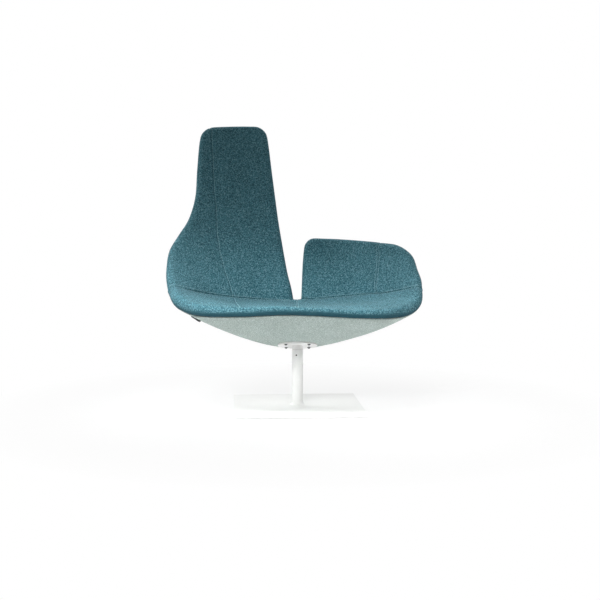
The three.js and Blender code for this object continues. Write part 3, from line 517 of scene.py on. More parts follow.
WEAVE_PITCH = 0.0021
WEAVE_BUMP = 0.0009
YARN_SCALE = 205.0
FIBRE_SCALE = 620.0
FIBRE_LIMIT = 0.665
WOOL_DRIFT_SCALE = 9.0
WOOL_SHADER = {"Sheen Weight": 0.04, "Sheen Roughness": 0.5, "Specular IOR Level": 0.1}
# How far the seam attribute darkens the wool towards its dark fleck, as painted shade
SEAM_PAINTED_DARKENING = 0.4
THREAD_SCALE = 900.0
NYLON_SCALE = 420.0
PEEL_SCALE = 700.0
POWDER_DRIFT_SCALE = 14.0
WEAR_SCALE = 160.0
TURNING_SCALE = 1100.0
FOAM_CELL_SCALE = 480.0
TAPE_RIB_PITCH = 0.0009


def scaled(shade, factor):
    """A colour made darker or lighter by a factor, no lighter than white."""
    return tuple(min(factor * part, 1) for part in shade)


class NodeBench:
    """Adds shader nodes to a material or a world and joins them."""

    def __init__(self, owner):
        self.tree = owner.node_tree

    def add(self, kind, inputs=None, **settings):
        node = self.tree.nodes.new(kind)
        for key, value in settings.items():
            setattr(node, key, value)
        for key, value in (inputs or {}).items():
            if isinstance(value, bpy.types.NodeSocket):
                self.link(value, node.inputs[key])
            else:
                node.inputs[key].default_value = value
        return node

    def link(self, output, target):
        self.tree.links.new(output, target)

    def ramp(self, factor, stops):
        node = self.add("ShaderNodeValToRGB", {"Fac": factor})
        elements = node.color_ramp.elements
        while len(elements) < len(stops):
            elements.new(0.5)
        for element, (position, shade) in zip(elements, stops):
            element.position = position
            element.color = (*shade, 1)
        return node.outputs["Color"]

    def noise(self, vector, scale, detail=2.0, roughness=0.5):
        return self.add("ShaderNodeTexNoise", {
            "Vector": vector, "Scale": scale, "Detail": detail, "Roughness": roughness}).outputs["Fac"]

    def math(self, operation, a, b=0.0):
        return self.add("ShaderNodeMath", {0: a, 1: b}, operation=operation).outputs[0]

    def mix(self, factor, a, b, blend="MIX"):
        node = self.add("ShaderNodeMix", {0: factor, 6: a, 7: b}, data_type="RGBA", blend_type=blend)
        return node.outputs[2]

    def ribs(self, distance, pitch):
        """A pattern that rises and falls once in every pitch."""
        turns = self.math("MULTIPLY", distance, math.pi / pitch)
        return self.math("ABSOLUTE", self.math("SINE", turns))


class Finish(NodeBench):
    """A new material, with the nodes that feed its shader."""

    def __init__(self, name, base, roughness, metallic=0.0):
        self.material = bpy.data.materials.new(name)
        self.material.use_nodes = True
        super().__init__(self.material)
        self.base = base
        self.shader = self.tree.nodes["Principled BSDF"]
        self.put({"Base Color": (*base, 1), "Roughness": roughness, "Metallic": metallic})
        spot = self.add("ShaderNodeTexCoord").outputs
        self.own, self.flat = spot["Object"], spot["UV"]

    def put(self, values):
        for socket, value in values.items():
            self.shader.inputs[socket].default_value = value

    def shade(self, pattern, dark, light):
        """Colours the finish by a pattern, between two (position, factor) stops."""
        stops = [(position, scaled(self.base, factor)) for position, factor in (dark, light)]
        self.link(self.ramp(pattern, stops), self.shader.inputs["Base Color"])

    def gloss(self, pattern, low, high):
        """Varies the roughness by a pattern."""
        spread = self.add("ShaderNodeMapRange", {"Value": pattern, "To Min": low, "To Max": high})
        self.link(spread.outputs["Result"], self.shader.inputs["Roughness"])

    def bump(self, pattern, strength, distance):
        """Raises the surface by a pattern."""
        node = self.add("ShaderNodeBump", {"Strength": strength, "Distance": distance, "Height": pattern})
        self.link(node.outputs["Normal"], self.shader.inputs["Normal"])


def wool(name, middle, light, dark, contrast):
    """Mottled wool: flecked yarn in a plain weave that follows the piece's own UV map in metres."""
    finish = Finish(name, middle, roughness=0.9)
    finish.put(WOOL_SHADER)
    yarn = finish.noise(finish.own, YARN_SCALE, detail=3.0, roughness=0.7)
    shadow = tuple(m + (d - m) * (1 - contrast) for m, d in zip(middle, dark))
    mottled = finish.ramp(yarn, [(0.36, dark), (0.46, shadow), (0.54, middle), (0.64, light)])
    drift = finish.noise(finish.own, WOOL_DRIFT_SCALE)
    tone = finish.ramp(drift, [(0.25, (0.86, 0.86, 0.86)), (0.75, (1.0, 1.0, 1.0))])
    mottled = finish.mix(1.0, mottled, tone, "MULTIPLY")
    fibre = finish.noise(finish.own, FIBRE_SCALE, detail=1.0)
    mottled = finish.mix(finish.math("GREATER_THAN", fibre, FIBRE_LIMIT), mottled, (*light, 1))

    split = finish.add("ShaderNodeSeparateXYZ", {0: finish.flat})
    warp, weft = (finish.ribs(split.outputs[k], WEAVE_PITCH) for k in (0, 1))
    weave = finish.math("MULTIPLY", warp, weft)
    hollow = finish.ramp(weave, [(0.0, (0.72, 0.72, 0.72)), (0.55, (1.0, 1.0, 1.0))])
    woven = finish.mix(1.0, mottled, hollow, "MULTIPLY")
    # Painted shade: the seam attribute darkens the wool towards its dark fleck in the seams' hollows and
    # where the cloth turns in under the lip
    seam = finish.add("ShaderNodeAttribute", attribute_name="seam").outputs["Fac"]
    painted_shade_colour = finish.mix(finish.math("MULTIPLY", seam, SEAM_PAINTED_DARKENING), woven, (*dark, 1))
    finish.link(painted_shade_colour, finish.shader.inputs["Base Color"])
    height = finish.math("ADD", finish.math("MULTIPLY", weave, 0.6), finish.math("MULTIPLY", yarn, 0.9))
    finish.bump(height, strength=0.5, distance=WEAVE_BUMP)
    return finish.material


def thread(name, base):
    """Twisted sewing thread."""
    finish = Finish(name, base, roughness=0.7)
    fuzz = finish.noise(finish.own, THREAD_SCALE)
    finish.shade(fuzz, dark=(0.3, 0.72), light=(0.7, 1.15))
    finish.bump(fuzz, strength=0.4, distance=0.0003)
    return finish.material


def powder_coat(name, base):
    """Satin powder coat with its fine orange peel."""
    finish = Finish(name, base, roughness=0.42)
    peel = finish.noise(finish.own, PEEL_SCALE, detail=3.0, roughness=0.6)
    finish.shade(finish.noise(finish.own, POWDER_DRIFT_SCALE), dark=(0.2, 0.97), light=(0.8, 1.0))
    finish.gloss(peel, low=0.36, high=0.5)
    finish.bump(peel, strength=0.12, distance=0.0002)
    return finish.material


def worn_metal(name, base, roughness):
    """Plated or blackened steel with fine turning marks and light wear."""
    finish = Finish(name, base, roughness, metallic=1.0)
    wear = finish.noise(finish.own, WEAR_SCALE, detail=4.0, roughness=0.65)
    finish.shade(wear, dark=(0.3, 0.8), light=(0.75, 1.25))
    marks = finish.noise(finish.own, TURNING_SCALE)
    finish.gloss(marks, low=roughness - 0.08, high=roughness + 0.12)
    finish.bump(marks, strength=0.15, distance=0.0001)
    return finish.material


def moulded_nylon(name, base):
    """Plain moulded nylon."""
    finish = Finish(name, base, roughness=0.5)
    grain = finish.noise(finish.own, NYLON_SCALE)
    finish.shade(grain, dark=(0.3, 0.94), light=(0.7, 1.0))
    finish.bump(grain, strength=0.1, distance=0.0002)
    return finish.material


def open_foam(name, base):
    """Moulded foam with its open cells."""
    finish = Finish(name, base, roughness=0.95)
    cells = finish.add("ShaderNodeTexVoronoi", {"Vector": finish.own, "Scale": FOAM_CELL_SCALE})
    finish.shade(cells.outputs["Distance"], dark=(0.05, 0.55), light=(0.35, 1.0))
    finish.bump(cells.outputs["Distance"], strength=0.6, distance=0.0008)
    return finish.material


def woven_tape(name, base):
    """Black tape with its fine ribs across."""
    finish = Finish(name, base, roughness=0.75)
    split = finish.add("ShaderNodeSeparateXYZ", {0: finish.flat})
    ribs = finish.ribs(split.outputs[0], TAPE_RIB_PITCH)
    finish.shade(ribs, dark=(0.1, 0.4), light=(0.8, 2.2))
    finish.bump(ribs, strength=0.6, distance=0.0003)
    return finish.material


MATERIALS = {}


def finish_of(name):
    """A finish by name, made on its first use."""
    colours = bpy.context.scene.chair_colours
    makers = {
        "teal wool": (wool, colours.teal, colours.teal_light, colours.teal_dark, 0.45),
        "pale wool": (wool, colours.pale, colours.pale_light, colours.pale_dark, 0.6),
        "teal thread": (thread, colours.thread),
        "black thread": (thread, (0.05, 0.05, 0.055)),
        "white powder coat": (powder_coat, colours.powder),
        "blackened steel": (worn_metal, colours.screw_steel, 0.42),
        "plated steel": (worn_metal, colours.bare_steel, 0.36),
        "nylon": (moulded_nylon, colours.nylon),
        "foam": (open_foam, colours.foam),
        "black tape": (woven_tape, colours.tape),
    }
    if name not in MATERIALS:
        make, *values = makers[name]
        MATERIALS[name] = make(name, *values)
    return MATERIALS[name]


# Pads and covers

def seam_stations(seam, rows):
    """A seam's station at each row."""
    places = np.array(seam, float)
    return np.interp(rows, places[:, 0], places[:, 1])


def roll_steps(before, flat, after):
    """Steps round the free edges before and after some flat places, counted from the flat."""
    return [k - before for k in range(before)] + [0] * flat + [k + 1 for k in range(after)]


def panel_columns(knot, width, cell, lines, tight_start, tight_end):
    """Columns across a panel as (knot, metres from it, metres short of the next one, share between)."""
    start = lines[-1] if tight_start else 0.0
    end = lines[-1] if tight_end else 0.0
    count = max(round((width - start - end) / cell), 2)
    columns = [(knot, line, 0.0, 0.0) for line in lines[:-1]] if tight_start else []
    columns += [(knot, start, end, share) for share in np.linspace(0, 1, count + 1)]
    if tight_end:
        columns += [(knot, 0.0, line, 1.0) for line in lines[-2::-1]]
    return columns


class PadGrid:
    """Columns and rows of a pad's mesh, with the rolls at its free edges and the turn-in at its joint."""

    def __init__(self, surface, pad, sizes, half, inset=0.0, rolls=ROLL_STEPS):
        self.surface, self.pad, self.sizes, self.half, self.rolls = surface, pad, sizes, half, rolls
        first, last = pad["stations"]
        self.row_table = np.linspace(*pad["rows"], HEIGHT_SAMPLES)
        line = surface.point(np.full(HEIGHT_SAMPLES, (first + last) / 2), self.row_table)
        self.height_table = np.concatenate([[0], np.cumsum(np.linalg.norm(np.diff(line, axis=0), axis=1))])
        margin = (sizes.joint_roll + sizes.joint_gap) * JOINT_MARGIN_SHARE
        tall = self.height_table[-1]
        free_start, free_end = (margin, tall - inset) if pad["joint"] == 0 else (inset, tall - margin)
        self.build_rows(free_start, free_end)
        row_lengths = np.array([surface.row_length(row, (first, last)) for row in self.row_at])
        self.row_scale = row_lengths / (last - first)
        inset_station = inset / self.row_scale.mean()
        self.edges = (first + inset_station, last - inset_station)
        self.ends = (self.row_at.min(), self.row_at.max())
        self.build_columns()

    def joint_places(self):
        """The turn-in at the joint, as (way in, trim of the half thickness, share of it that is left)."""
        roll, gap = self.sizes.joint_roll, self.sizes.joint_gap
        turns = np.linspace(0, math.pi / 2, JOINT_STEPS + 1)
        places = [(gap + roll * (1 - math.sin(turn)), roll * (1 - math.cos(turn)), 1.0) for turn in turns]
        return places + [(gap, roll, 1 - step / JOINT_CAP_STEPS) for step in range(1, JOINT_CAP_STEPS + 1)]

    def build_rows(self, start, end):
        """Rows between two heights up the pad's middle, close together near the joint."""
        cell, rolls = self.sizes.pad_cell, self.rolls
        close = [share * cell for share in JOINT_ROW_SHARES]
        count = max(round((end - start - close[-1]) / cell), 3)
        if self.pad["joint"] == 0:
            heights = [start, *(start + step for step in close[:-1]),
                       *np.linspace(start + close[-1], end, count + 1)]
        else:
            heights = [*np.linspace(start, end - close[-1], count + 1),
                       *(end - step for step in close[-2::-1]), end]
        inner = list(np.interp(heights, self.height_table, self.row_table))
        joint = self.joint_places()
        flat = len(inner) + len(joint)
        plain = [(0.0, 0.0, 1.0)] * (rolls + len(inner))
        joint_rows = [self.pad["rows"][self.pad["joint"]]] * len(joint)
        if self.pad["joint"] == 1:
            at = [inner[0]] * rolls + inner + joint_rows
            steps, turn_in = roll_steps(rolls, flat, 0), plain + joint
        else:
            at = joint_rows + inner + [inner[-1]] * rolls
            steps, turn_in = roll_steps(0, flat, rolls), joint[::-1] + plain
        self.row_at = np.array(at, float)
        self.row_roll = np.array(steps)
        self.turn_in = np.array(turn_in)

    def build_columns(self):
        """Columns across the pad, with lines close together at each seam."""
        lines = [share * self.sizes.seam_half_width for share in SEAM_LINE_SHARES]
        rows = np.full(1, self.row_at.mean())
        seam_knots = [float(seam_stations(seam, rows)[0]) for seam in self.pad["seams"]]
        knots = [self.edges[0], *seam_knots, self.edges[1]]
        columns, seam_columns = [], []
        for k in range(len(knots) - 1):
            width = (knots[k + 1] - knots[k]) * self.row_scale.mean()
            panel = panel_columns(k, width, self.sizes.pad_cell, lines, k > 0, k < len(knots) - 2)
            if k > 0:
                seam_columns.append(len(columns) - 1)
                panel = panel[1:]
            columns += panel
        self.columns = np.array([columns[0]] * self.rolls + columns + [columns[-1]] * self.rolls)
        self.column_roll = np.array(roll_steps(self.rolls, len(columns), self.rolls))
        self.seam_columns = [place + self.rolls for place in seam_columns]

    def flat_places(self):
        """Station and row of every column at every row, before the corners are rounded."""
        knots = [np.full(len(self.row_at), self.edges[0])]
        knots += [seam_stations(seam, self.row_at) for seam in self.pad["seams"]]
        knots.append(np.full(len(self.row_at), self.edges[1]))
        knots = np.stack(knots)
        knot = self.columns[:, 0].astype(int)
        start, end, share = (self.columns[:, k][:, None] for k in (1, 2, 3))
        low = knots[knot] + start / self.row_scale
        high = knots[knot + 1] - end / self.row_scale
        station = low * (1 - share) + high * share
        return station, np.broadcast_to(self.row_at, station.shape)

    def rounded_places(self, station, row):
        """Stations and rows with round corners, and how far each border place faces sideways and endways."""
        sideways = np.broadcast_to((self.column_roll != 0)[:, None], station.shape).astype(float)
        endways = np.broadcast_to((self.row_roll != 0)[None, :], station.shape).astype(float)
        corners = [(self.edges[side], self.ends[end], 1 - 2 * side, 1 - 2 * end, getattr(self.sizes, name))
                   for side, end, name in self.pad["corners"]]
        return bend_corners(self.surface, corners, station, row, sideways, endways)

    def slit_flare(self, station, row):
        """How far the pad's side at the slit reaches out, so that the slit ends in a round foot."""
        side, radius = self.pad["slit"], self.sizes.slit_radius
        if side is None:
            return np.zeros(station.shape)
        tall = self.surface.stretch(self.edges[side], self.ends[0], 0, CORNER_PROBE)
        above = np.clip((row - self.pad["rows"][0]) * tall, 0, radius)
        reach = radius - np.sqrt(radius ** 2 - (radius - above) ** 2)
        away = np.abs(station - self.edges[side]) * self.row_scale
        return reach * np.clip(1 - away / SLIT_SPREAD, 0, 1) ** 2 * (1 if side else -1)

    def lip_drop(self, station, row):
        """How much thinner the seat pad is at the lip and just behind it."""
        if not self.pad["lip"]:
            return np.zeros(station.shape)
        across = station / LAST_STATION
        at_lip = np.clip(1 - row / LIP_DROP_ROWS, 0, 1) ** 2 * np.sin(math.pi * across ** LIP_DROP_LEAN)
        behind_lip = np.exp(-((row - PAN_DIP_ROW) / PAN_DIP_SPAN) ** 2) * (1 - (2 * across - 1) ** 4)
        return self.sizes.lip_drop * at_lip + self.sizes.pan_dip * behind_lip

    def rolled(self):
        """Steps that every place has gone round the pad's free edge."""
        return np.maximum(np.abs(self.column_roll)[:, None], np.abs(self.row_roll)[None, :])

    def places(self, offset, edge):
        """Front and back places of the closed pad, as (columns, rows, 3)."""
        station, row, sideways, endways = self.rounded_places(*self.flat_places())
        flat = self.surface.axes(station.ravel(), row.ravel(), self.pad["rows"][1])
        point, normal, across, along = (part.reshape(*station.shape, 3) for part in flat)
        middle = np.mean(self.pad["stations"]), np.mean(self.pad["rows"])
        outward = outward_of(across, along, station, row, middle, sideways, endways)
        turn = (math.pi / 2 * self.rolled() / self.rolls)[..., None]
        inset, trim, cap = (self.turn_in[:, k][None, :, None] for k in range(3))
        trim = np.minimum(trim, self.half / 2)
        towards_joint = without(along, across) * (1 if self.pad["joint"] == 1 else -1)
        middle = point + normal * offset - towards_joint * inset
        middle = middle + across * self.slit_flare(station, row)[..., None]
        middle = middle + outward * np.maximum(edge - trim, 0) * np.sin(turn)
        deeper = depth_in_front(self.sizes, station, row)[..., None] if self.pad["lip"] else 0.0
        low = (self.half - trim + deeper) * cap * np.cos(turn)
        high = (self.half - trim - self.lip_drop(station, row)[..., None]) * cap * np.cos(turn)
        return middle + normal * high, middle - normal * low

    def seam_gap(self):
        """Distance of every place from its nearest seam, in metres."""
        station, row = self.flat_places()
        gap = np.full(station.shape, 1.0)
        for seam in self.pad["seams"]:
            gap = np.minimum(gap, np.abs(station - seam_stations(seam, row)) * self.row_scale)
        return gap

    def hold(self):
        """How firmly every place of the front is held while the cushion swells, from nought to one."""
        station, row = self.flat_places()
        heights = np.interp(row, self.row_table, self.height_table)
        border = np.minimum(heights, self.height_table[-1] - heights)
        border = np.minimum(border, (station - self.edges[0]) * self.row_scale)
        border = np.minimum(border, (self.edges[1] - station) * self.row_scale)
        gap = np.minimum(self.seam_gap(), border)
        free = np.clip(gap / self.sizes.crown_reach, 0, 1)
        return 1 - free ** 2 * (3 - 2 * free)

    def painted_under_shade(self):
        """How far every place of the back sheet has turned in under the roll, as painted shade that darkens
        the cloth there.
        """
        inward = 1 - self.rolled() / self.rolls
        return UNDER_PAINTED_SHADE * np.clip((inward - UNDER_START) / (UNDER_FULL - UNDER_START), 0, 1)

    def seam_sink(self):
        """How deep every place lies under the plain form: the seam itself and the pull beside it."""
        sizes = self.sizes
        gap = self.seam_gap()
        seam = np.exp(-(gap / sizes.seam_half_width) ** 2)
        pull = np.exp(-(gap / (PULL_REACH * sizes.seam_half_width)) ** 2)
        heights = np.interp(self.row_at, self.row_table, self.height_table)
        pucker = 1 + PUCKER_SHARE * np.sin(heights * math.tau / PUCKER_PITCH)
        return sizes.seam_depth * (seam + PULL_SHARE * pull * pucker)


def metric_uv(places):
    """Distances across and along the grid, from its middle, as a UV map in metres."""
    across = np.linalg.norm(np.diff(places, axis=0), axis=2)
    along = np.linalg.norm(np.diff(places, axis=1), axis=2)
    u = np.concatenate([np.zeros((1, places.shape[1])), np.cumsum(across, axis=0)])
    v = np.concatenate([np.zeros((places.shape[0], 1)), np.cumsum(along, axis=1)], axis=1)
    u -= u[places.shape[0] // 2]
    v -= v[:, places.shape[1] // 2][:, None]
    return np.stack([u, v], axis=-1)


def add_sheet(bm, places, outward, **amounts):
    """Lays a bmesh grid on an array of places (columns, rows, 3), with amounts kept at its vertices."""
    columns, rows = places.shape[:2]
    uv = metric_uv(places)
    uv_layer = bm.loops.layers.uv.verify()
    layers = {name: bm.verts.layers.float.get(name) or bm.verts.layers.float.new(name) for name in amounts}
    made = bmesh.ops.create_grid(bm, x_segments=columns - 1, y_segments=rows - 1, size=1)
    spots = {}
    for vert in made["verts"]:
        spots[vert] = (round((vert.co.x + 1) / 2 * (columns - 1)), round((vert.co.y + 1) / 2 * (rows - 1)))
    faces = {face for vert in made["verts"] for face in vert.link_faces}
    for face in faces:
        for loop in face.loops:
            loop[uv_layer].uv = uv[spots[loop.vert]]
    for vert, spot in spots.items():
        vert.co = places[spot]
        for name, amount in amounts.items():
            vert[layers[name]] = amount[spot]
    if not outward:
        bmesh.ops.reverse_faces(bm, faces=list(faces))


def closed_pad(name, material, grid, offset, edge):
    """A closed pad or cover: a front and a back sheet joined along their edge."""
    front, back = grid.places(offset, edge)
    nothing = np.zeros(front.shape[:2])
    bm = bmesh.new()
    if grid.pad["seams"]:
        # The seam attribute is painted shade: darker in the seams' hollows on the front sheet, and under the
        # lip on the back sheet
        seam = np.exp(-(grid.seam_gap() / (SEAM_PAINTED_SHADE_SHARE * grid.sizes.seam_half_width)) ** 2)
        under = grid.painted_under_shade() if grid.pad["lip"] else nothing
        add_sheet(bm, front, True, seam=seam, sink=grid.seam_sink(), hold=grid.hold())
        add_sheet(bm, back, False, seam=under, sink=nothing, hold=nothing + 1)
    else:
        add_sheet(bm, front, True)
        add_sheet(bm, back, False)
    bmesh.ops.remove_doubles(bm, verts=bm.verts[:], dist=SHEET_WELD)
    return object_from(bm, name, material)


CLOTH_PRESSURE = 4.0
CLOTH_STIFFNESS = 20.0
CLOTH_FRAMES = 20
CLOTH_QUALITY = 5
LEAST_MOVE = 1e-9


def taken(mesh, name):
    """The values of a vertex attribute, which is then removed."""
    values = np.zeros(len(mesh.vertices))
    mesh.attributes[name].data.foreach_get("value", values)
    mesh.attributes.remove(mesh.attributes[name])
    return values


def places_of(mesh):
    """The places of a mesh's vertices."""
    places = np.zeros(3 * len(mesh.vertices))
    mesh.vertices.foreach_get("co", places)
    return places.reshape(-1, 3)


def move_places(mesh, places):
    """Puts a mesh's vertices at new places."""
    mesh.vertices.foreach_set("co", places.ravel())
    mesh.update()


def add_cloth(piece, hold):
    """Makes a piece a cloth under pressure, held by its weights."""
    group = piece.vertex_groups.new(name="held")
    for index, weight in enumerate(hold):
        group.add([index], weight, "REPLACE")
    cloth = piece.modifiers.new("cloth", "CLOTH")
    cloth.point_cache.frame_start = 1
    cloth.point_cache.frame_end = CLOTH_FRAMES
    cloth.collision_settings.use_collision = False
    settings = cloth.settings
    settings.quality = CLOTH_QUALITY
    settings.vertex_group_mass = group.name
    settings.use_pressure = True
    settings.uniform_pressure_force = CLOTH_PRESSURE
    settings.tension_stiffness = settings.compression_stiffness = CLOTH_STIFFNESS
    settings.effector_weights.gravity = 0


def swell(piece, crown):
    """Swells a cushion's panels, held along its seams, edges and back."""
    mesh = piece.data
    hold = taken(mesh, "hold")
    add_cloth(piece, hold)
    for number in range(1, CLOTH_FRAMES + 1):
        bpy.context.scene.frame_set(number)
    graph = bpy.context.evaluated_depsgraph_get()
    plain, swollen = places_of(mesh), places_of(piece.evaluated_get(graph).data)
    piece.modifiers.clear()
    piece.vertex_groups.clear()
    bpy.context.scene.frame_set(1)
    move = swollen - plain
    reach = np.linalg.norm(move, axis=1, keepdims=True)
    move *= (1 - hold[:, None]) * crown * np.tanh(reach / crown) / np.maximum(reach, LEAST_MOVE)
    move_places(mesh, plain + move)


def sink_seams(piece):
    """Presses the seams into a cushion along its own normals."""
    mesh = piece.data
    sink = taken(mesh, "sink")
    normals = np.zeros(3 * len(sink))
    mesh.vertex_normals.foreach_get("vector", normals)
    move_places(mesh, places_of(mesh).ravel() - normals * np.repeat(sink, 3))


def surface_of_pads():
    return PadSurface(bpy.context.scene.chair_upholstery)


CUSHIONS = {"seat": "seat_cushion", "back": "high_back_cushion", "wing": "low_wing_cushion"}


def make_cushion(pad_name, node):
    """Makes a pad's cushion: its closed grid, swollen, with its seams pressed in."""
    sizes = bpy.context.scene.chair_upholstery
    half = sizes.pad_thickness / 2
    grid = PadGrid(surface_of_pads(), PADS[pad_name], sizes, half)
    piece = closed_pad(CUSHIONS[pad_name], finish_of("teal wool"), grid, 0.0, half)
    swell(piece, sizes.pad_crown)
    sink_seams(piece)
    dress(piece, "seat", "teal_fabric", node)


class ARMCHAIR_OT_seat_cushion(bpy.types.Operator):
    """Makes the seat cushion with its rolled lip and its two seams"""
    bl_idname = "armchair.seat_cushion"
    bl_label = "Seat cushion"

    def execute(self, context):
        make_cushion("seat", "seat_pad")
        return {"FINISHED"}


class ARMCHAIR_OT_back_cushions(bpy.types.Operator):
    """Makes the tall back cushion and the low wing cushion"""
    bl_idname = "armchair.back_cushions"
    bl_label = "Back and wing cushions"

    def execute(self, context):
        make_cushion("back", "high_back_pad")
        make_cushion("wing", "low_wing_pad")
        return {"FINISHED"}


class ARMCHAIR_OT_rear_covers(bpy.types.Operator):
    """Makes the pale covers behind the tall back and behind the wing"""
    bl_idname = "armchair.rear_covers"
    bl_label = "Rear covers"

    def execute(self, context):
        sizes = context.scene.chair_upholstery
        half = sizes.cover_thickness / 2
        offset = -(sizes.pad_thickness / 2 + sizes.cover_gap + half)
        for pad_name, piece_name, node in (
                ("back", "high_back_rear_cover", "high_back_cover"),
                ("wing", "low_wing_rear_cover", "low_wing_cover")):
            pad = {**PADS[pad_name], "seams": [], "slit": None}
            grid = PadGrid(surface_of_pads(), pad, sizes, half, sizes.cover_inset, COVER_ROLL_STEPS)
            piece = closed_pad(piece_name, finish_of("pale wool"), grid, offset, half)
            dress(piece, "seat", "pale_fabric", node)
        return {"FINISHED"}


# Shell under the seat

# Where the shell's belly lies between the flange and the rim, and how much further out on the right
SHELL_BULGE_SHARE = 0.43
SHELL_RIGHT_SHARE = 0.1
# Points along the rim's width and depth, steps down the skirt, and rings on the flat floor
SHELL_WIDE_POINTS = 150
SHELL_TALL_POINTS = 44
SHELL_SKIRT_STEPS = 30
SHELL_FLOOR_SHARES = (0.93, 0.8, 0.55, 0.3)
# Points to each side over which the rim's overhang and its normals are smoothed
SHELL_BORDER_BLEND = 9
SHELL_NORMAL_BLEND = 3


def flange_matrix():
    """Lays a level piece on the tilted flange's underside."""
    swivel = bpy.context.scene.chair_swivel
    return Matrix.Translation((0, 0, swivel.flange_height)) @ Matrix.Rotation(-swivel.flange_tilt, 4, "X")


def on_flange_plane(swivel, direction, radius, lift):
    """Places on or above the tilted flange plane, at an angle and a radius about its middle."""
    sine, cosine = math.sin(swivel.flange_tilt), math.cos(swivel.flange_tilt)
    x, y = radius * np.cos(direction), radius * np.sin(direction)
    return np.stack([x, y * cosine + lift * sine, swivel.flange_height + lift * cosine - y * sine], axis=-1)


def ring_smoothed(values, reach):
    """Values round a closed ring, each the mean of its neighbours within reach."""
    total = sum(np.roll(values, step, axis=0) for step in range(-reach, reach + 1))
    return total / (2 * reach + 1)


def shell_border(surface, sizes):
    """Places, normals, steps outward and depth of the shell's rim round the seat's border."""
    wide, tall = SHELL_WIDE_POINTS, SHELL_TALL_POINTS
    last, crease = float(LAST_STATION), float(CREASE_ROW)
    across, back = np.linspace(0, last, wide, False), np.linspace(0, crease, tall, False)
    station = np.concatenate([across, np.full(tall, last), last - across, np.zeros(tall)])
    row = np.concatenate([np.zeros(wide), back, np.full(wide, crease), crease - back])
    sideways = np.repeat([0.0, 1.0, 0.0, 1.0], [wide, tall, wide, tall])
    corners = [(0.0, 0.0, 1, 1, sizes.seat_corner), (last, 0.0, -1, 1, sizes.seat_corner)]
    station, row, sideways, endways = bend_corners(surface, corners, station, row, sideways, 1 - sideways)
    point, normal, across, along = surface.axes(station, row, CREASE_ROW + 1)
    outward = outward_of(across, along, station, row, (last / 2, crease / 2), sideways, endways)
    sidewards = point[:, 0] / sizes.half_width
    reach = sizes.shell_overhang + sizes.shell_side_overhang * np.abs(sidewards)
    reach = (reach + sizes.shell_right_overhang * np.maximum(sidewards, 0)) * normal[:, 2] ** 2
    reach = np.where(row == crease, -sizes.shell_rear_inset, reach)[:, None]
    normal = unit(ring_smoothed(normal, SHELL_NORMAL_BLEND))
    deep = (sizes.pad_thickness / 2 + sizes.cover_gap + depth_in_front(sizes, station, row))[:, None]
    return point, normal, ring_smoothed(outward * reach, SHELL_BORDER_BLEND), deep


def shell_places(surface, sizes, swivel):
    """Places of the shell's outer face, as (round the border, down to the floor, 3)."""
    point, normal, step, deep = shell_border(surface, sizes)
    top = point + step - normal * deep
    rim = point + step - normal * (deep + sizes.shell_rim_height)
    lift = swivel.flange_thickness + swivel.fit_gap
    direction = np.arctan2(rim[:, 1], rim[:, 0])
    floor = on_flange_plane(swivel, direction, sizes.shell_floor_radius, lift)
    distance = np.hypot(rim[:, 0] - floor[:, 0], rim[:, 1] - floor[:, 1])
    share = SHELL_BULGE_SHARE + SHELL_RIGHT_SHARE * np.maximum(np.cos(direction), 0)
    belly = on_flange_plane(swivel, direction, sizes.shell_floor_radius + distance * share, lift)
    rows = [top, (top + rim) / 2]
    rows += [(1 - s) ** 2 * rim + 2 * s * (1 - s) * belly + s ** 2 * floor
             for s in np.linspace(0, 1, SHELL_SKIRT_STEPS + 1)]
    rows += [on_flange_plane(swivel, direction, sizes.shell_floor_radius * share, lift)
             for share in SHELL_FLOOR_SHARES]
    places = np.stack(rows, axis=1)
    return np.concatenate([places, places[:1]])


class ARMCHAIR_OT_under_shell(bpy.types.Operator):
    """Makes the pale shell that hangs under the seat and runs down to the flange"""
    bl_idname = "armchair.under_shell"
    bl_label = "Under shell"

    def execute(self, context):
        sizes = context.scene.chair_upholstery
        bm = bmesh.new()
        add_sheet(bm, shell_places(surface_of_pads(), sizes, context.scene.chair_swivel), False)
        bmesh.ops.remove_doubles(bm, verts=bm.verts[:], dist=SHEET_WELD)
        floor_edges = [edge for edge in bm.edges if edge.is_boundary
                       and edge.verts[0].co.xy.length < sizes.shell_floor_radius / 2]
        bmesh.ops.holes_fill(bm, edges=floor_edges, sides=0)
        bmesh.ops.recalc_face_normals(bm, faces=bm.faces[:])
        piece = object_from(bm, "under_shell_cover", finish_of("pale wool"))
        thicken(piece, sizes.shell_wall, -1, even=True)
        dress(piece, "seat", "pale_fabric", "under_shell")
        return {"FINISHED"}


# Stitching

STITCH_HEIGHT_SHARE = 0.42
STITCH_LIFT_SHARE = 0.15
STITCH_LINE = 4
STITCH_END_STEPS = 2
# Columns from each seam to its stitches, a group for every seam of a pad
STITCHED_SIDES = {"seat": [(3,), (-4, 4)], "back": [(3,)], "wing": [(-4, 4)]}


def pad_tree(piece_name):
    """The finished cushion's faces, for laying stitches on them."""
    mesh = bpy.data.objects[piece_name].data
    return BVHTree.FromPolygons([v.co for v in mesh.vertices], [p.vertices for p in mesh.polygons])


def add_stitch(bm, place, turn, half_sizes):
    """Adds one stitch, a small bead that lies along its own X."""
    size = Matrix.Diagonal((*half_sizes, 1))
    bmesh.ops.create_uvsphere(
        bm, u_segments=6, v_segments=4, radius=1,
        matrix=Matrix.Translation(place) @ turn @ size @ Matrix.Rotation(math.pi / 2, 4, "Y"))


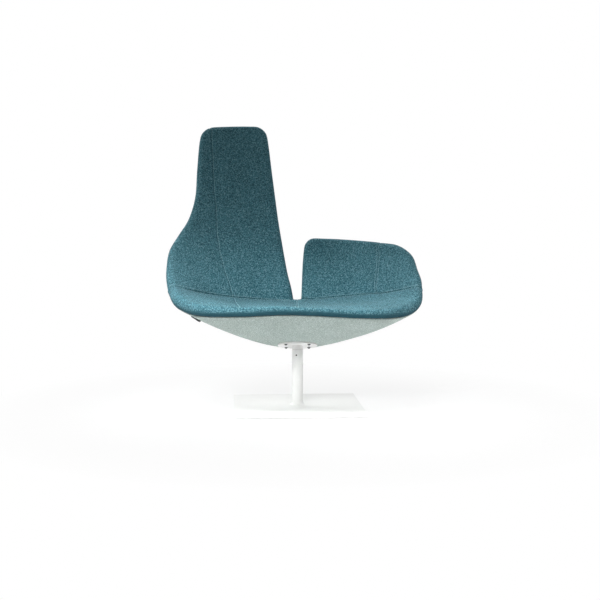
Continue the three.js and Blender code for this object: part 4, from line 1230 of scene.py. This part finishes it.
def stitched_line(bm, tree, line, sizes):
    """Lays topstitches along a line of places on a cushion."""
    width = sizes.stitch_width
    half_sizes = (sizes.stitch_length / 2, width / 2, width * STITCH_HEIGHT_SHARE)
    seats = [tree.find_nearest(Vector(place))[:2] for place in line]
    travelled, due = 0.0, 0.0
    for (a, normal), (b, _) in zip(seats, seats[1:]):
        step = (b - a).length
        while step > 0 and due <= travelled + step:
            along = (b - a).normalized()
            side = normal.cross(along).normalized()
            up = along.cross(side)
            turn = Matrix((along, side, up)).transposed().to_4x4()
            place = a.lerp(b, (due - travelled) / step) + up * width * STITCH_LIFT_SHARE
            add_stitch(bm, place, turn, half_sizes)
            due += sizes.stitch_pitch
        travelled += step


def stitch_lines(grid, sides):
    """Lines of places a few columns beside every seam of a pad, and one beside its crease."""
    front, _ = grid.places(0.0, grid.half)
    end = ROLL_STEPS - STITCH_END_STEPS
    plain = np.flatnonzero((grid.turn_in[:, 1] == 0) & (np.abs(grid.row_roll) <= end))
    lines = [front[column + side, plain]
             for column, seam_sides in zip(grid.seam_columns, sides) for side in seam_sides]
    inner = np.flatnonzero(np.abs(grid.column_roll) <= end)
    beside = plain[-STITCH_LINE] if grid.pad["joint"] == 1 else plain[STITCH_LINE - 1]
    return [*lines, front[inner, beside]]


class ARMCHAIR_OT_topstitching(bpy.types.Operator):
    """Sews the rows of topstitching beside the seams and above and below the crease"""
    bl_idname = "armchair.topstitching"
    bl_label = "Topstitching"

    def execute(self, context):
        sizes = context.scene.chair_upholstery
        for pad_name, cushion in CUSHIONS.items():
            grid = PadGrid(surface_of_pads(), PADS[pad_name], sizes, sizes.pad_thickness / 2)
            tree = pad_tree(cushion)
            bm = bmesh.new()
            for line in stitch_lines(grid, STITCHED_SIDES[pad_name]):
                stitched_line(bm, tree, line, sizes)
            piece = object_from(bm, f"{cushion}_stitches", finish_of("teal thread"))
            dress(piece, "seat", "teal_fabric")
        return {"FINISHED"}


# Tab on the left flank

TAB_LOOP_TURNS = 9
# Heights of the folded tape's upper layer, in radii of its loop
TAB_SEWN_LIFT = 0.4
TAB_MIDDLE_LIFT = 1.1
TAB_STITCHED_SHARE = 0.35
TAB_STITCH_GAP = 1.5
TAB_STITCH_SHARES = (0.5, 0.15, 0.12)


def tab_place():
    """The tab's half length, width and thickness, and the matrix that lays it on the flank."""
    corners = np.array([vert.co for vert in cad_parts["side_tab"].data.vertices])
    corners = np.unique(corners.round(6), axis=0)
    centre = corners.mean(axis=0)
    _, _, axes = np.linalg.svd(corners - centre)
    reach = np.abs((corners - centre) @ axes.T).max(axis=0)
    if axes[0][0] < 0:
        axes[0] = -axes[0]
    if axes[2] @ np.array([-1, 0, -1]) < 0:
        axes[2] = -axes[2]
    axes[1] = np.cross(axes[2], axes[0])
    place = Matrix(np.column_stack([*axes]).tolist()).to_4x4()
    place.translation = Vector(centre)
    return [float(r) for r in reach], place


def tab_profile(length, low, loop):
    """The folded tape seen from its side: out along the flank, round the loop and back to the sewn end."""
    turns = np.linspace(-math.pi / 2, math.pi / 2, TAB_LOOP_TURNS)
    bend = [(length - loop + loop * math.cos(turn), low + loop * (1 + math.sin(turn))) for turn in turns]
    return [(-length, low), (0, low), *bend,
            (0, low + loop * TAB_MIDDLE_LIFT), (-length, low + loop * TAB_SEWN_LIFT)]


def tab_sheet(sizes, half_length, half_width, half_thickness):
    """The folded tape as a sheet, with its UV map in metres."""
    bm = bmesh.new()
    uv_layer = bm.loops.layers.uv.new("cloth")
    profile = tab_profile(half_length, -half_thickness + sizes.tab_tape / 2, sizes.tab_loop)
    line = [bm.verts.new((x, -half_width, z)) for x, z in profile]
    edges = [bm.edges.new(pair) for pair in zip(line, line[1:])]
    travelled = np.concatenate([[0], np.cumsum([edge.calc_length() for edge in edges])])
    along = {(round(vert.co.x, 7), round(vert.co.z, 7)): at for vert, at in zip(line, travelled)}
    made = bmesh.ops.extrude_edge_only(bm, edges=edges)["geom"]
    far = [part for part in made if isinstance(part, bmesh.types.BMVert)]
    bmesh.ops.translate(bm, verts=far, vec=(0, 2 * half_width, 0))
    for face in bm.faces:
        for loop in face.loops:
            spot = loop.vert.co
            loop[uv_layer].uv = (along[round(spot.x, 7), round(spot.z, 7)], spot.y)
    bmesh.ops.recalc_face_normals(bm, faces=bm.faces[:])
    return bm


def tab_sewing(sizes, half_length, half_width, half_thickness):
    """The square of stitches that holds the tab's sewn end."""
    bm = bmesh.new()
    low = -half_length + sizes.tab_tape
    high = -half_length + 2 * half_length * TAB_STITCHED_SHARE
    side = half_width - sizes.tab_tape
    top = -half_thickness + sizes.tab_tape + sizes.tab_loop * TAB_SEWN_LIFT
    rise = sizes.tab_loop * (TAB_MIDDLE_LIFT - TAB_SEWN_LIFT) / half_length
    half_sizes = [sizes.tab_stitch * share for share in TAB_STITCH_SHARES]
    ends = [Vector(end) for end in ((low, -side), (low, side), (high, side), (high, -side))]
    for start, stop in zip(ends, ends[1:] + ends[:1]):
        line = stop - start
        turn = Matrix.Rotation(math.atan2(line.y, line.x), 4, "Z")
        count = max(int(line.length / sizes.tab_stitch / TAB_STITCH_GAP), 1)
        for n in range(count):
            spot = start + line * (n + 0.5) / count
            add_stitch(bm, (spot.x, spot.y, top + rise * (spot.x + half_length)), turn, half_sizes)
    return bm


class ARMCHAIR_OT_side_tab(bpy.types.Operator):
    """Makes the black tape tab on the left flank, folded to a loop, with its sewn end"""
    bl_idname = "armchair.side_tab"
    bl_label = "Side tab"

    def execute(self, context):
        sizes = context.scene.chair_upholstery
        half_sizes, place = tab_place()
        tape = object_from(tab_sheet(sizes, *half_sizes), "side_tab_tape", finish_of("black tape"))
        thicken(tape, sizes.tab_tape, 0)
        dress(moved(tape, place), "seat", "black_tape", "side_tab")
        sewing = object_from(tab_sewing(sizes, *half_sizes), "side_tab_stitches", finish_of("black thread"))
        dress(moved(sewing, place), "seat", "black_tape")
        return {"FINISHED"}


# Swivel hardware

FLANGE_EDGE = 0.0012
FLANGE_SEGMENTS = 128
WASHER_EDGE = 0.0003
SOFT_EDGE = 0.0007
SMALL_SEGMENTS = 48
HOLE_SEGMENTS = 32
HEXAGON = 6
CUT_MARGIN = 0.003
SOCKET_MARGIN = 0.002
# A screw's head is a dome: the turn at which it starts, its steps, and how square its shoulder is
DOME_START = 0.32
DOME_STEPS = 9
DOME_POWER = 1.4


def screw_spots(swivel):
    """The four screws' places on the flange."""
    reach = swivel.screw_spacing / 2
    return [(-reach, -reach), (reach, -reach), (reach, reach), (-reach, reach)]


def make_flange(swivel):
    """Makes the tilted flange with its screw holes."""
    radius, thickness = swivel.flange_radius, swivel.flange_thickness
    hole, margin = swivel.screw_radius + swivel.fit_gap, 4 * FLANGE_EDGE
    holes = [rod(hole, -margin, thickness + margin, HOLE_SEGMENTS, Matrix.Translation((x, y, 0)))
             for x, y in screw_spots(swivel)]
    outline = ring_outline(0, radius, 0, thickness, (0, FLANGE_EDGE, FLANGE_EDGE, 0))
    flange = turned_piece("flange", "white powder coat", outline, FLANGE_SEGMENTS, holes, flange_matrix())
    dress(flange, "seat", "white_powder", "flange_plate")


def make_hub(swivel, base):
    """Makes the hub, which is cut off at a slant to meet the tilted flange."""
    low = base.column_top + base.bush_lip + 2 * swivel.fit_gap
    high = swivel.flange_height + base.column_radius
    bm = bmesh.new()
    turned(bm, ring_outline(base.bore_radius, base.column_radius, low, high, (0, SOFT_EDGE, 0, 0)))
    plane = flange_matrix() @ Matrix.Translation((0, 0, -swivel.fit_gap))
    bmesh.ops.bisect_plane(
        bm, geom=[*bm.verts, *bm.edges, *bm.faces], dist=WELD_DISTANCE, plane_co=plane.translation,
        plane_no=plane.to_3x3() @ Vector((0, 0, 1)), clear_outer=True)
    bmesh.ops.bridge_loops(bm, edges=[edge for edge in bm.edges if edge.is_boundary])
    bmesh.ops.recalc_face_normals(bm, faces=bm.faces[:])
    hub = object_from(bm, "swivel_hub", finish_of("white powder coat"))
    shade_edges(hub)
    dress(hub, "seat", "white_powder", "hub")


class ARMCHAIR_OT_flange(bpy.types.Operator):
    """Makes the round flange with its screw holes, and the hub under it"""
    bl_idname = "armchair.flange"
    bl_label = "Flange and hub"

    def execute(self, context):
        make_flange(context.scene.chair_swivel)
        make_hub(context.scene.chair_swivel, context.scene.chair_base)
        return {"FINISHED"}


def make_washer(swivel, number, place):
    """Makes the washer between a screw's head and the flange."""
    gap = swivel.fit_gap
    low = -gap - swivel.washer_thickness
    outline = ring_outline(swivel.screw_radius + gap, swivel.washer_radius, low, -gap,
                           (0, WASHER_EDGE, WASHER_EDGE, 0))
    name = f"flange_washer_disc_{number}"
    washer = turned_piece(name, "blackened steel", outline, SMALL_SEGMENTS, place=place)
    dress(washer, "seat", "dark_screw", f"flange_washer_{number}")


def make_screw(swivel, number, place):
    """Makes a screw with a domed head and a hexagon socket."""
    head, shank, top = swivel.head_radius, swivel.screw_radius, swivel.screw_length
    seat = -swivel.fit_gap - swivel.washer_thickness - swivel.fit_gap
    dome = [(head * math.sin(turn), seat - swivel.head_height * math.cos(turn) ** DOME_POWER)
            for turn in np.linspace(DOME_START, math.pi / 2, DOME_STEPS)]
    outline = [(0, dome[0][1]), *dome, (shank, seat), (shank, top), (0, top)]
    low = seat - swivel.head_height
    socket = rod(swivel.socket_radius, low - SOCKET_MARGIN, low + swivel.socket_depth, HEXAGON)
    screw = turned_piece(
        f"flange_screw_socket_{number}", "blackened steel", outline, SMALL_SEGMENTS, [socket], place)
    dress(screw, "seat", "dark_screw", f"flange_screw_{number}")


class ARMCHAIR_OT_flange_screws(bpy.types.Operator):
    """Makes the four dark socket screws under the flange, with their washers"""
    bl_idname = "armchair.flange_screws"
    bl_label = "Flange screws and washers"

    def execute(self, context):
        swivel = context.scene.chair_swivel
        for number, (x, y) in enumerate(screw_spots(swivel), start=1):
            place = flange_matrix() @ Matrix.Translation((x, y, 0))
            make_washer(swivel, number, place)
            make_screw(swivel, number, place)
        return {"FINISHED"}


# Column and floor plate

FOOT_STEPS = 15
FOOT_SHARP_ANGLE = 50
BUSH_SLEEVE = 0.04
GRUB_SEGMENTS = 40
GRUB_SET_BACK = 0.0004
GRUB_CHAMFER = 0.0004
GRUB_TIP = 0.0017
GRUB_SOCKET_RADIUS = 0.0017
GRUB_SOCKET_DEPTH = 0.003
PLATE_SHARP_ANGLE = 25
PLATE_CORNER_STEPS = 6
PLATE_EDGE_STEPS = 3
GLIDE_EDGE = 0.0008
GLIDE_STEM_RADIUS = 0.003
GLIDE_STEM_HEIGHT = 0.005


def base_matrix():
    """Turns a piece with the floor plate."""
    return Matrix.Rotation(bpy.context.scene.chair_base.base_turn, 4, "Z")


def plate_levels(base, gap):
    """Heights of the floor plate's underside and its top."""
    bottom = base.glide_height + gap
    return bottom, bottom + base.plate_thickness


def grub_matrix(base):
    """Lays Z along the set screw, outward from the column's axis."""
    return (Matrix.Rotation(base.base_turn + base.grub_turn, 4, "Z")
            @ Matrix.Translation((0, 0, base.grub_height)) @ Matrix.Rotation(math.pi / 2, 4, "Y"))


def grub_hole(base, gap, start, end):
    """A cutter for the set screw's hole, between two distances from the column's axis."""
    return rod(base.grub_radius + gap, start, end, HOLE_SEGMENTS, grub_matrix(base))


def make_column(base, gap, low):
    """Makes the column's tube with the set screw's hole."""
    outer, inner = base.column_radius, base.column_radius - base.column_wall
    outline = ring_outline(inner, outer, low, base.column_top, (0, 0, SOFT_EDGE, SOFT_EDGE))
    column = turned_piece(
        "column", "white powder coat", outline,
        holes=[grub_hole(base, gap, inner - CUT_MARGIN, outer + CUT_MARGIN)])
    dress(column, "base", "white_powder", "column_tube")


def make_foot(base, gap, low):
    """Makes the hollow flare between the column and the floor plate."""
    inner = base.column_radius + gap
    arc = [(inner + base.foot_size * (1 + math.cos(turn)), low + base.foot_size * (1 + math.sin(turn)))
           for turn in np.linspace(math.pi * 1.5, math.pi, FOOT_STEPS)]
    foot = turned_piece("column_foot", "white powder coat", [(inner, low), *arc], sharp=FOOT_SHARP_ANGLE)
    dress(foot, "base", "white_powder", "weld_fillet")


def make_bush(base, gap):
    """Makes the upper bush, with its sleeve in the column and its lip over the column's end."""
    outer, bore, top = base.column_radius, base.bore_radius, base.column_top
    sleeve, sleeve_low, lip_low = outer - base.column_wall - gap, top - BUSH_SLEEVE, top + gap
    lip_high = lip_low + base.bush_lip
    outline = [(bore, sleeve_low), (sleeve, sleeve_low), (sleeve, lip_low), (outer, lip_low),
               (outer, lip_high), (bore, lip_high)]
    hole = grub_hole(base, gap, bore - CUT_MARGIN, outer)
    dress(turned_piece("swivel_bush", "nylon", outline, holes=[hole]), "base", "nylon", "upper_bush")


def make_grub(base):
    """Makes the set screw, a little below the column's face."""
    radius, tip, end = base.grub_radius, base.bore_radius - GRUB_TIP, base.column_radius - GRUB_SET_BACK
    outline = [(0, tip), (radius, tip), (radius, end - GRUB_CHAMFER), (radius - GRUB_CHAMFER, end), (0, end)]
    socket = rod(GRUB_SOCKET_RADIUS, end - GRUB_SOCKET_DEPTH, end + SOCKET_MARGIN, HEXAGON)
    grub = turned_piece("set_screw", "blackened steel", outline, GRUB_SEGMENTS, [socket], grub_matrix(base))
    dress(grub, "base", "dark_screw", "grub_screw")


class ARMCHAIR_OT_column(bpy.types.Operator):
    """Makes the column, its flared foot, the bush's lip and the set screw"""
    bl_idname = "armchair.column"
    bl_label = "Column"

    def execute(self, context):
        base = context.scene.chair_base
        gap = context.scene.chair_swivel.fit_gap
        low = plate_levels(base, gap)[1] + gap
        make_column(base, gap, low)
        make_foot(base, gap, low)
        make_bush(base, gap)
        make_grub(base)
        return {"FINISHED"}


def bevel(bm, edges, radius, steps):
    """Rounds some of a bmesh's edges."""
    bmesh.ops.bevel(
        bm, geom=edges, offset=radius, offset_type="OFFSET", affect="EDGES",
        segments=steps, profile=0.5, material=-1)


def make_plate(base, gap):
    """Makes the square plate, with round corners and eased edges."""
    bottom, top = plate_levels(base, gap)
    bm = bmesh.new()
    size = Matrix.Diagonal((base.plate_width, base.plate_width, base.plate_thickness, 1))
    bmesh.ops.create_cube(bm, size=1, matrix=Matrix.Translation((0, 0, (bottom + top) / 2)) @ size)
    upright = [edge for edge in bm.edges if edge.calc_length() < base.plate_width / 2]
    bevel(bm, upright, base.plate_corner, PLATE_CORNER_STEPS)
    flat = [edge for edge in bm.edges if len({round(face.normal.z, 3) for face in edge.link_faces}) > 1]
    bevel(bm, flat, base.plate_edge, PLATE_EDGE_STEPS)
    plate = moved(object_from(bm, "floor_plate", finish_of("white powder coat")), base_matrix())
    shade_edges(plate, PLATE_SHARP_ANGLE)
    dress(plate, "base", "white_powder", "base_plate")


def make_glide(base, name, x, y):
    """Makes a glide: a disc on the floor, and a stem up into the plate."""
    radius, height, stem = base.glide_radius, base.glide_height, GLIDE_STEM_RADIUS
    outline = soft_outline(
        [(0, 0), (radius, 0), (radius, height), (stem, height),
         (stem, height + GLIDE_STEM_HEIGHT), (0, height + GLIDE_STEM_HEIGHT)],
        [0, GLIDE_EDGE, GLIDE_EDGE, 0, 0, 0])
    place = base_matrix() @ Matrix.Translation((x, y, 0))
    glide = turned_piece(f"glide_foot_{name}", "nylon", outline, SMALL_SEGMENTS, place=place)
    dress(glide, "base", "nylon", f"glide_{name}")


class ARMCHAIR_OT_floor_plate(bpy.types.Operator):
    """Makes the square floor plate with its eased edges, and the glides under it"""
    bl_idname = "armchair.floor_plate"
    bl_label = "Floor plate and glides"

    def execute(self, context):
        base = context.scene.chair_base
        make_plate(base, context.scene.chair_swivel.fit_gap)
        reach = base.plate_width / 2 - base.glide_inset
        spots = {"front_left": (-reach, -reach), "front_right": (reach, -reach),
                 "rear_left": (-reach, reach), "rear_right": (reach, reach), "center": (0, 0)}
        for name, (x, y) in spots.items():
            make_glide(base, name, x, y)
        return {"FINISHED"}


class ARMCHAIR_OT_inner_parts(bpy.types.Operator):
    """Gives the frame bars, spindle, plates, nuts, bushes and filling their finishes"""
    bl_idname = "armchair.inner_parts"
    bl_label = "Inner parts"

    def execute(self, context):
        inner = {
            "plated steel": ["spindle", "spindle_clip", "support_plate", "seat_frame_bar",
                             "high_back_frame_bar", "low_wing_frame_bar",
                             *(f"flange_nut_{number}" for number in range(1, 5))],
            "nylon": ["lower_bush"],
            "foam": ["foam_core"],
        }
        for finish, nodes in inner.items():
            for node in nodes:
                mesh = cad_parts[node].data
                mesh.materials.clear()
                mesh.materials.append(finish_of(finish))
        return {"FINISHED"}


# Stage

CAMERA_PLACE = (0.010, -4.074, 0.721)
CAMERA_PITCH = math.radians(4.18)
CAMERA_LENS = 62.6
CAMERA_SENSOR = 36.0
# Name, place, aim, width and height, spread in degrees, power
LAMPS = [
    ("rear_softbox", (-0.3, 1.7, 2.3), (0.0, 0.0, 0.5), (2.4, 1.4), 180, 30.0),
    ("overhead_softbox", (0.0, 1.1, 2.5), (0.0, 0.2, 0.6), (2.4, 0.8), 180, 9.0),
    ("left_softbox", (-2.4, -0.3, 1.0), (0.0, 0.0, 0.5), (1.0, 1.6), 180, 10.0),
    ("low_right_softbox", (2.0, 0.1, 0.55), (0.0, 0.0, 0.12), (1.4, 0.8), 100, 1.6),
    ("front_softbox", (-0.4, -1.3, 2.2), (0.0, -0.6, 0.2), (1.6, 0.7), 70, 4.8),
    ("lip_gridded_softbox", (-0.3, -1.3, 1.95), (0.0, -0.47, 0.42), (1.5, 0.4), 40, 1.8),
    ("low_gridded_softbox", (-0.5, -1.9, 1.35), (0.0, -0.46, 0.40), (1.5, 0.4), 30, 2.2),
]
AMBIENT_LIGHT = 0.2
FLOOR_COLOUR = (0.93, 0.93, 0.93)
FLOOR_RADIUS = 30.0
FLOOR_DROP = 0.0004
FLOOR_BLEND_NEAR = 0.72
FLOOR_BLEND_START = 0.45
FLOOR_BLEND_END = 1.3


def camera_rays(bench):
    """One for camera, glossy and transmission rays, and nought for the rest."""
    rays = bench.add("ShaderNodeLightPath")
    seen = bench.math("MAXIMUM", rays.outputs["Is Camera Ray"], rays.outputs["Is Glossy Ray"])
    return bench.math("MAXIMUM", seen, rays.outputs["Is Transmission Ray"])


def floor_finish():
    """White floor that keeps the chair's shadow near it and fades into the backdrop."""
    finish = Finish("white floor", FLOOR_COLOUR, roughness=1.0)
    finish.put({"Specular IOR Level": 0.0})
    away = finish.add("ShaderNodeVectorMath", {0: finish.own}, operation="LENGTH").outputs["Value"]
    fade = finish.add("ShaderNodeMapRange", {
        "Value": away, "From Min": FLOOR_BLEND_START, "From Max": FLOOR_BLEND_END,
        "To Min": FLOOR_BLEND_NEAR, "To Max": 1.0})
    glow = finish.add("ShaderNodeEmission", {"Color": (1, 1, 1, 1), "Strength": 1.0})
    share = finish.math("MULTIPLY", fade.outputs["Result"], camera_rays(finish))
    both = finish.add("ShaderNodeMixShader", {
        0: share, 1: finish.shader.outputs["BSDF"], 2: glow.outputs["Emission"]})
    finish.link(both.outputs["Shader"], finish.tree.nodes["Material Output"].inputs["Surface"])
    return finish.material


def add_camera(scene):
    lens = bpy.data.cameras.new("camera")
    lens.lens = CAMERA_LENS
    lens.sensor_width = CAMERA_SENSOR
    scene.camera = linked("camera", lens)
    scene.camera.location = CAMERA_PLACE
    scene.camera.rotation_euler = (math.pi / 2 - CAMERA_PITCH, 0, 0)


def add_floor():
    bm = bmesh.new()
    bmesh.ops.create_circle(bm, cap_ends=True, segments=TURN_SEGMENTS, radius=FLOOR_RADIUS,
                            matrix=Matrix.Translation((0, 0, -FLOOR_DROP)))
    floor = object_from(bm, "floor", floor_finish(), smooth=False)


def add_surroundings(scene):
    """White to the camera, and a faint even light on the chair."""
    world = bpy.data.worlds.new("surroundings")
    world.use_nodes = True
    scene.world = world
    bench = NodeBench(world)
    backdrop = world.node_tree.nodes["Background"]
    backdrop.inputs["Color"].default_value = (1, 1, 1, 1)
    strength = bench.add("ShaderNodeMapRange", {
        "Value": camera_rays(bench), "To Min": AMBIENT_LIGHT, "To Max": 1.0})
    bench.link(strength.outputs["Result"], backdrop.inputs["Strength"])


def add_lamp(name, place, aim, size, spread, power):
    """Adds a rectangular lamp that looks at its aim."""
    light = bpy.data.lights.new(name, "AREA")
    light.shape = "RECTANGLE"
    light.size, light.size_y = size
    light.energy = power
    light.spread = math.radians(spread)
    lamp = linked(name, light)
    lamp.location = place
    lamp.rotation_euler = (Vector(aim) - Vector(place)).to_track_quat("-Z", "Y").to_euler()


class ARMCHAIR_OT_stage(bpy.types.Operator):
    """Sets up the camera, the pale floor, the lamps and the white surroundings"""
    bl_idname = "armchair.stage"
    bl_label = "Stage"

    def execute(self, context):
        context.scene.view_settings.view_transform = "Standard"
        add_camera(context.scene)
        add_floor()
        add_surroundings(context.scene)
        for lamp in LAMPS:
            add_lamp(*lamp)
        return {"FINISHED"}


OPERATORS = (
    ARMCHAIR_OT_seat_cushion,
    ARMCHAIR_OT_back_cushions,
    ARMCHAIR_OT_topstitching,
    ARMCHAIR_OT_rear_covers,
    ARMCHAIR_OT_under_shell,
    ARMCHAIR_OT_side_tab,
    ARMCHAIR_OT_flange,
    ARMCHAIR_OT_flange_screws,
    ARMCHAIR_OT_column,
    ARMCHAIR_OT_floor_plate,
    ARMCHAIR_OT_inner_parts,
    ARMCHAIR_OT_stage,
)
GROUPS = {
    "chair_upholstery": ChairUpholstery,
    "chair_swivel": ChairSwivel,
    "chair_base": ChairBase,
    "chair_colours": ChairColours,
}


class ARMCHAIR_PT_panel(bpy.types.Panel):
    """Sizes, colours and steps of the armchair"""
    bl_idname = "ARMCHAIR_PT_panel"
    bl_label = "Armchair"
    bl_space_type = "VIEW_3D"
    bl_region_type = "UI"
    bl_category = "Armchair"

    def draw(self, context):
        column = self.layout.column(align=True)
        for operator in OPERATORS:
            column.operator(operator.bl_idname)
        for name, group in GROUPS.items():
            box = self.layout.box()
            box.label(text=group.__doc__)
            for key in group.__annotations__:
                box.prop(getattr(context.scene, name), key)


def register():
    for group in GROUPS.values():
        bpy.utils.register_class(group)
    for name, group in GROUPS.items():
        setattr(bpy.types.Scene, name, PointerProperty(type=group))
    for operator in OPERATORS:
        bpy.utils.register_class(operator)
    bpy.utils.register_class(ARMCHAIR_PT_panel)


def unregister():
    bpy.utils.unregister_class(ARMCHAIR_PT_panel)
    for operator in reversed(OPERATORS):
        bpy.utils.unregister_class(operator)
    for name in GROUPS:
        delattr(bpy.types.Scene, name)
    for group in reversed(list(GROUPS.values())):
        bpy.utils.unregister_class(group)


def main():
    register()
    for operator in OPERATORS:
        namespace, step = operator.bl_idname.split(".")
        getattr(getattr(bpy.ops, namespace), step)()


if __name__ == "__main__":
    main()
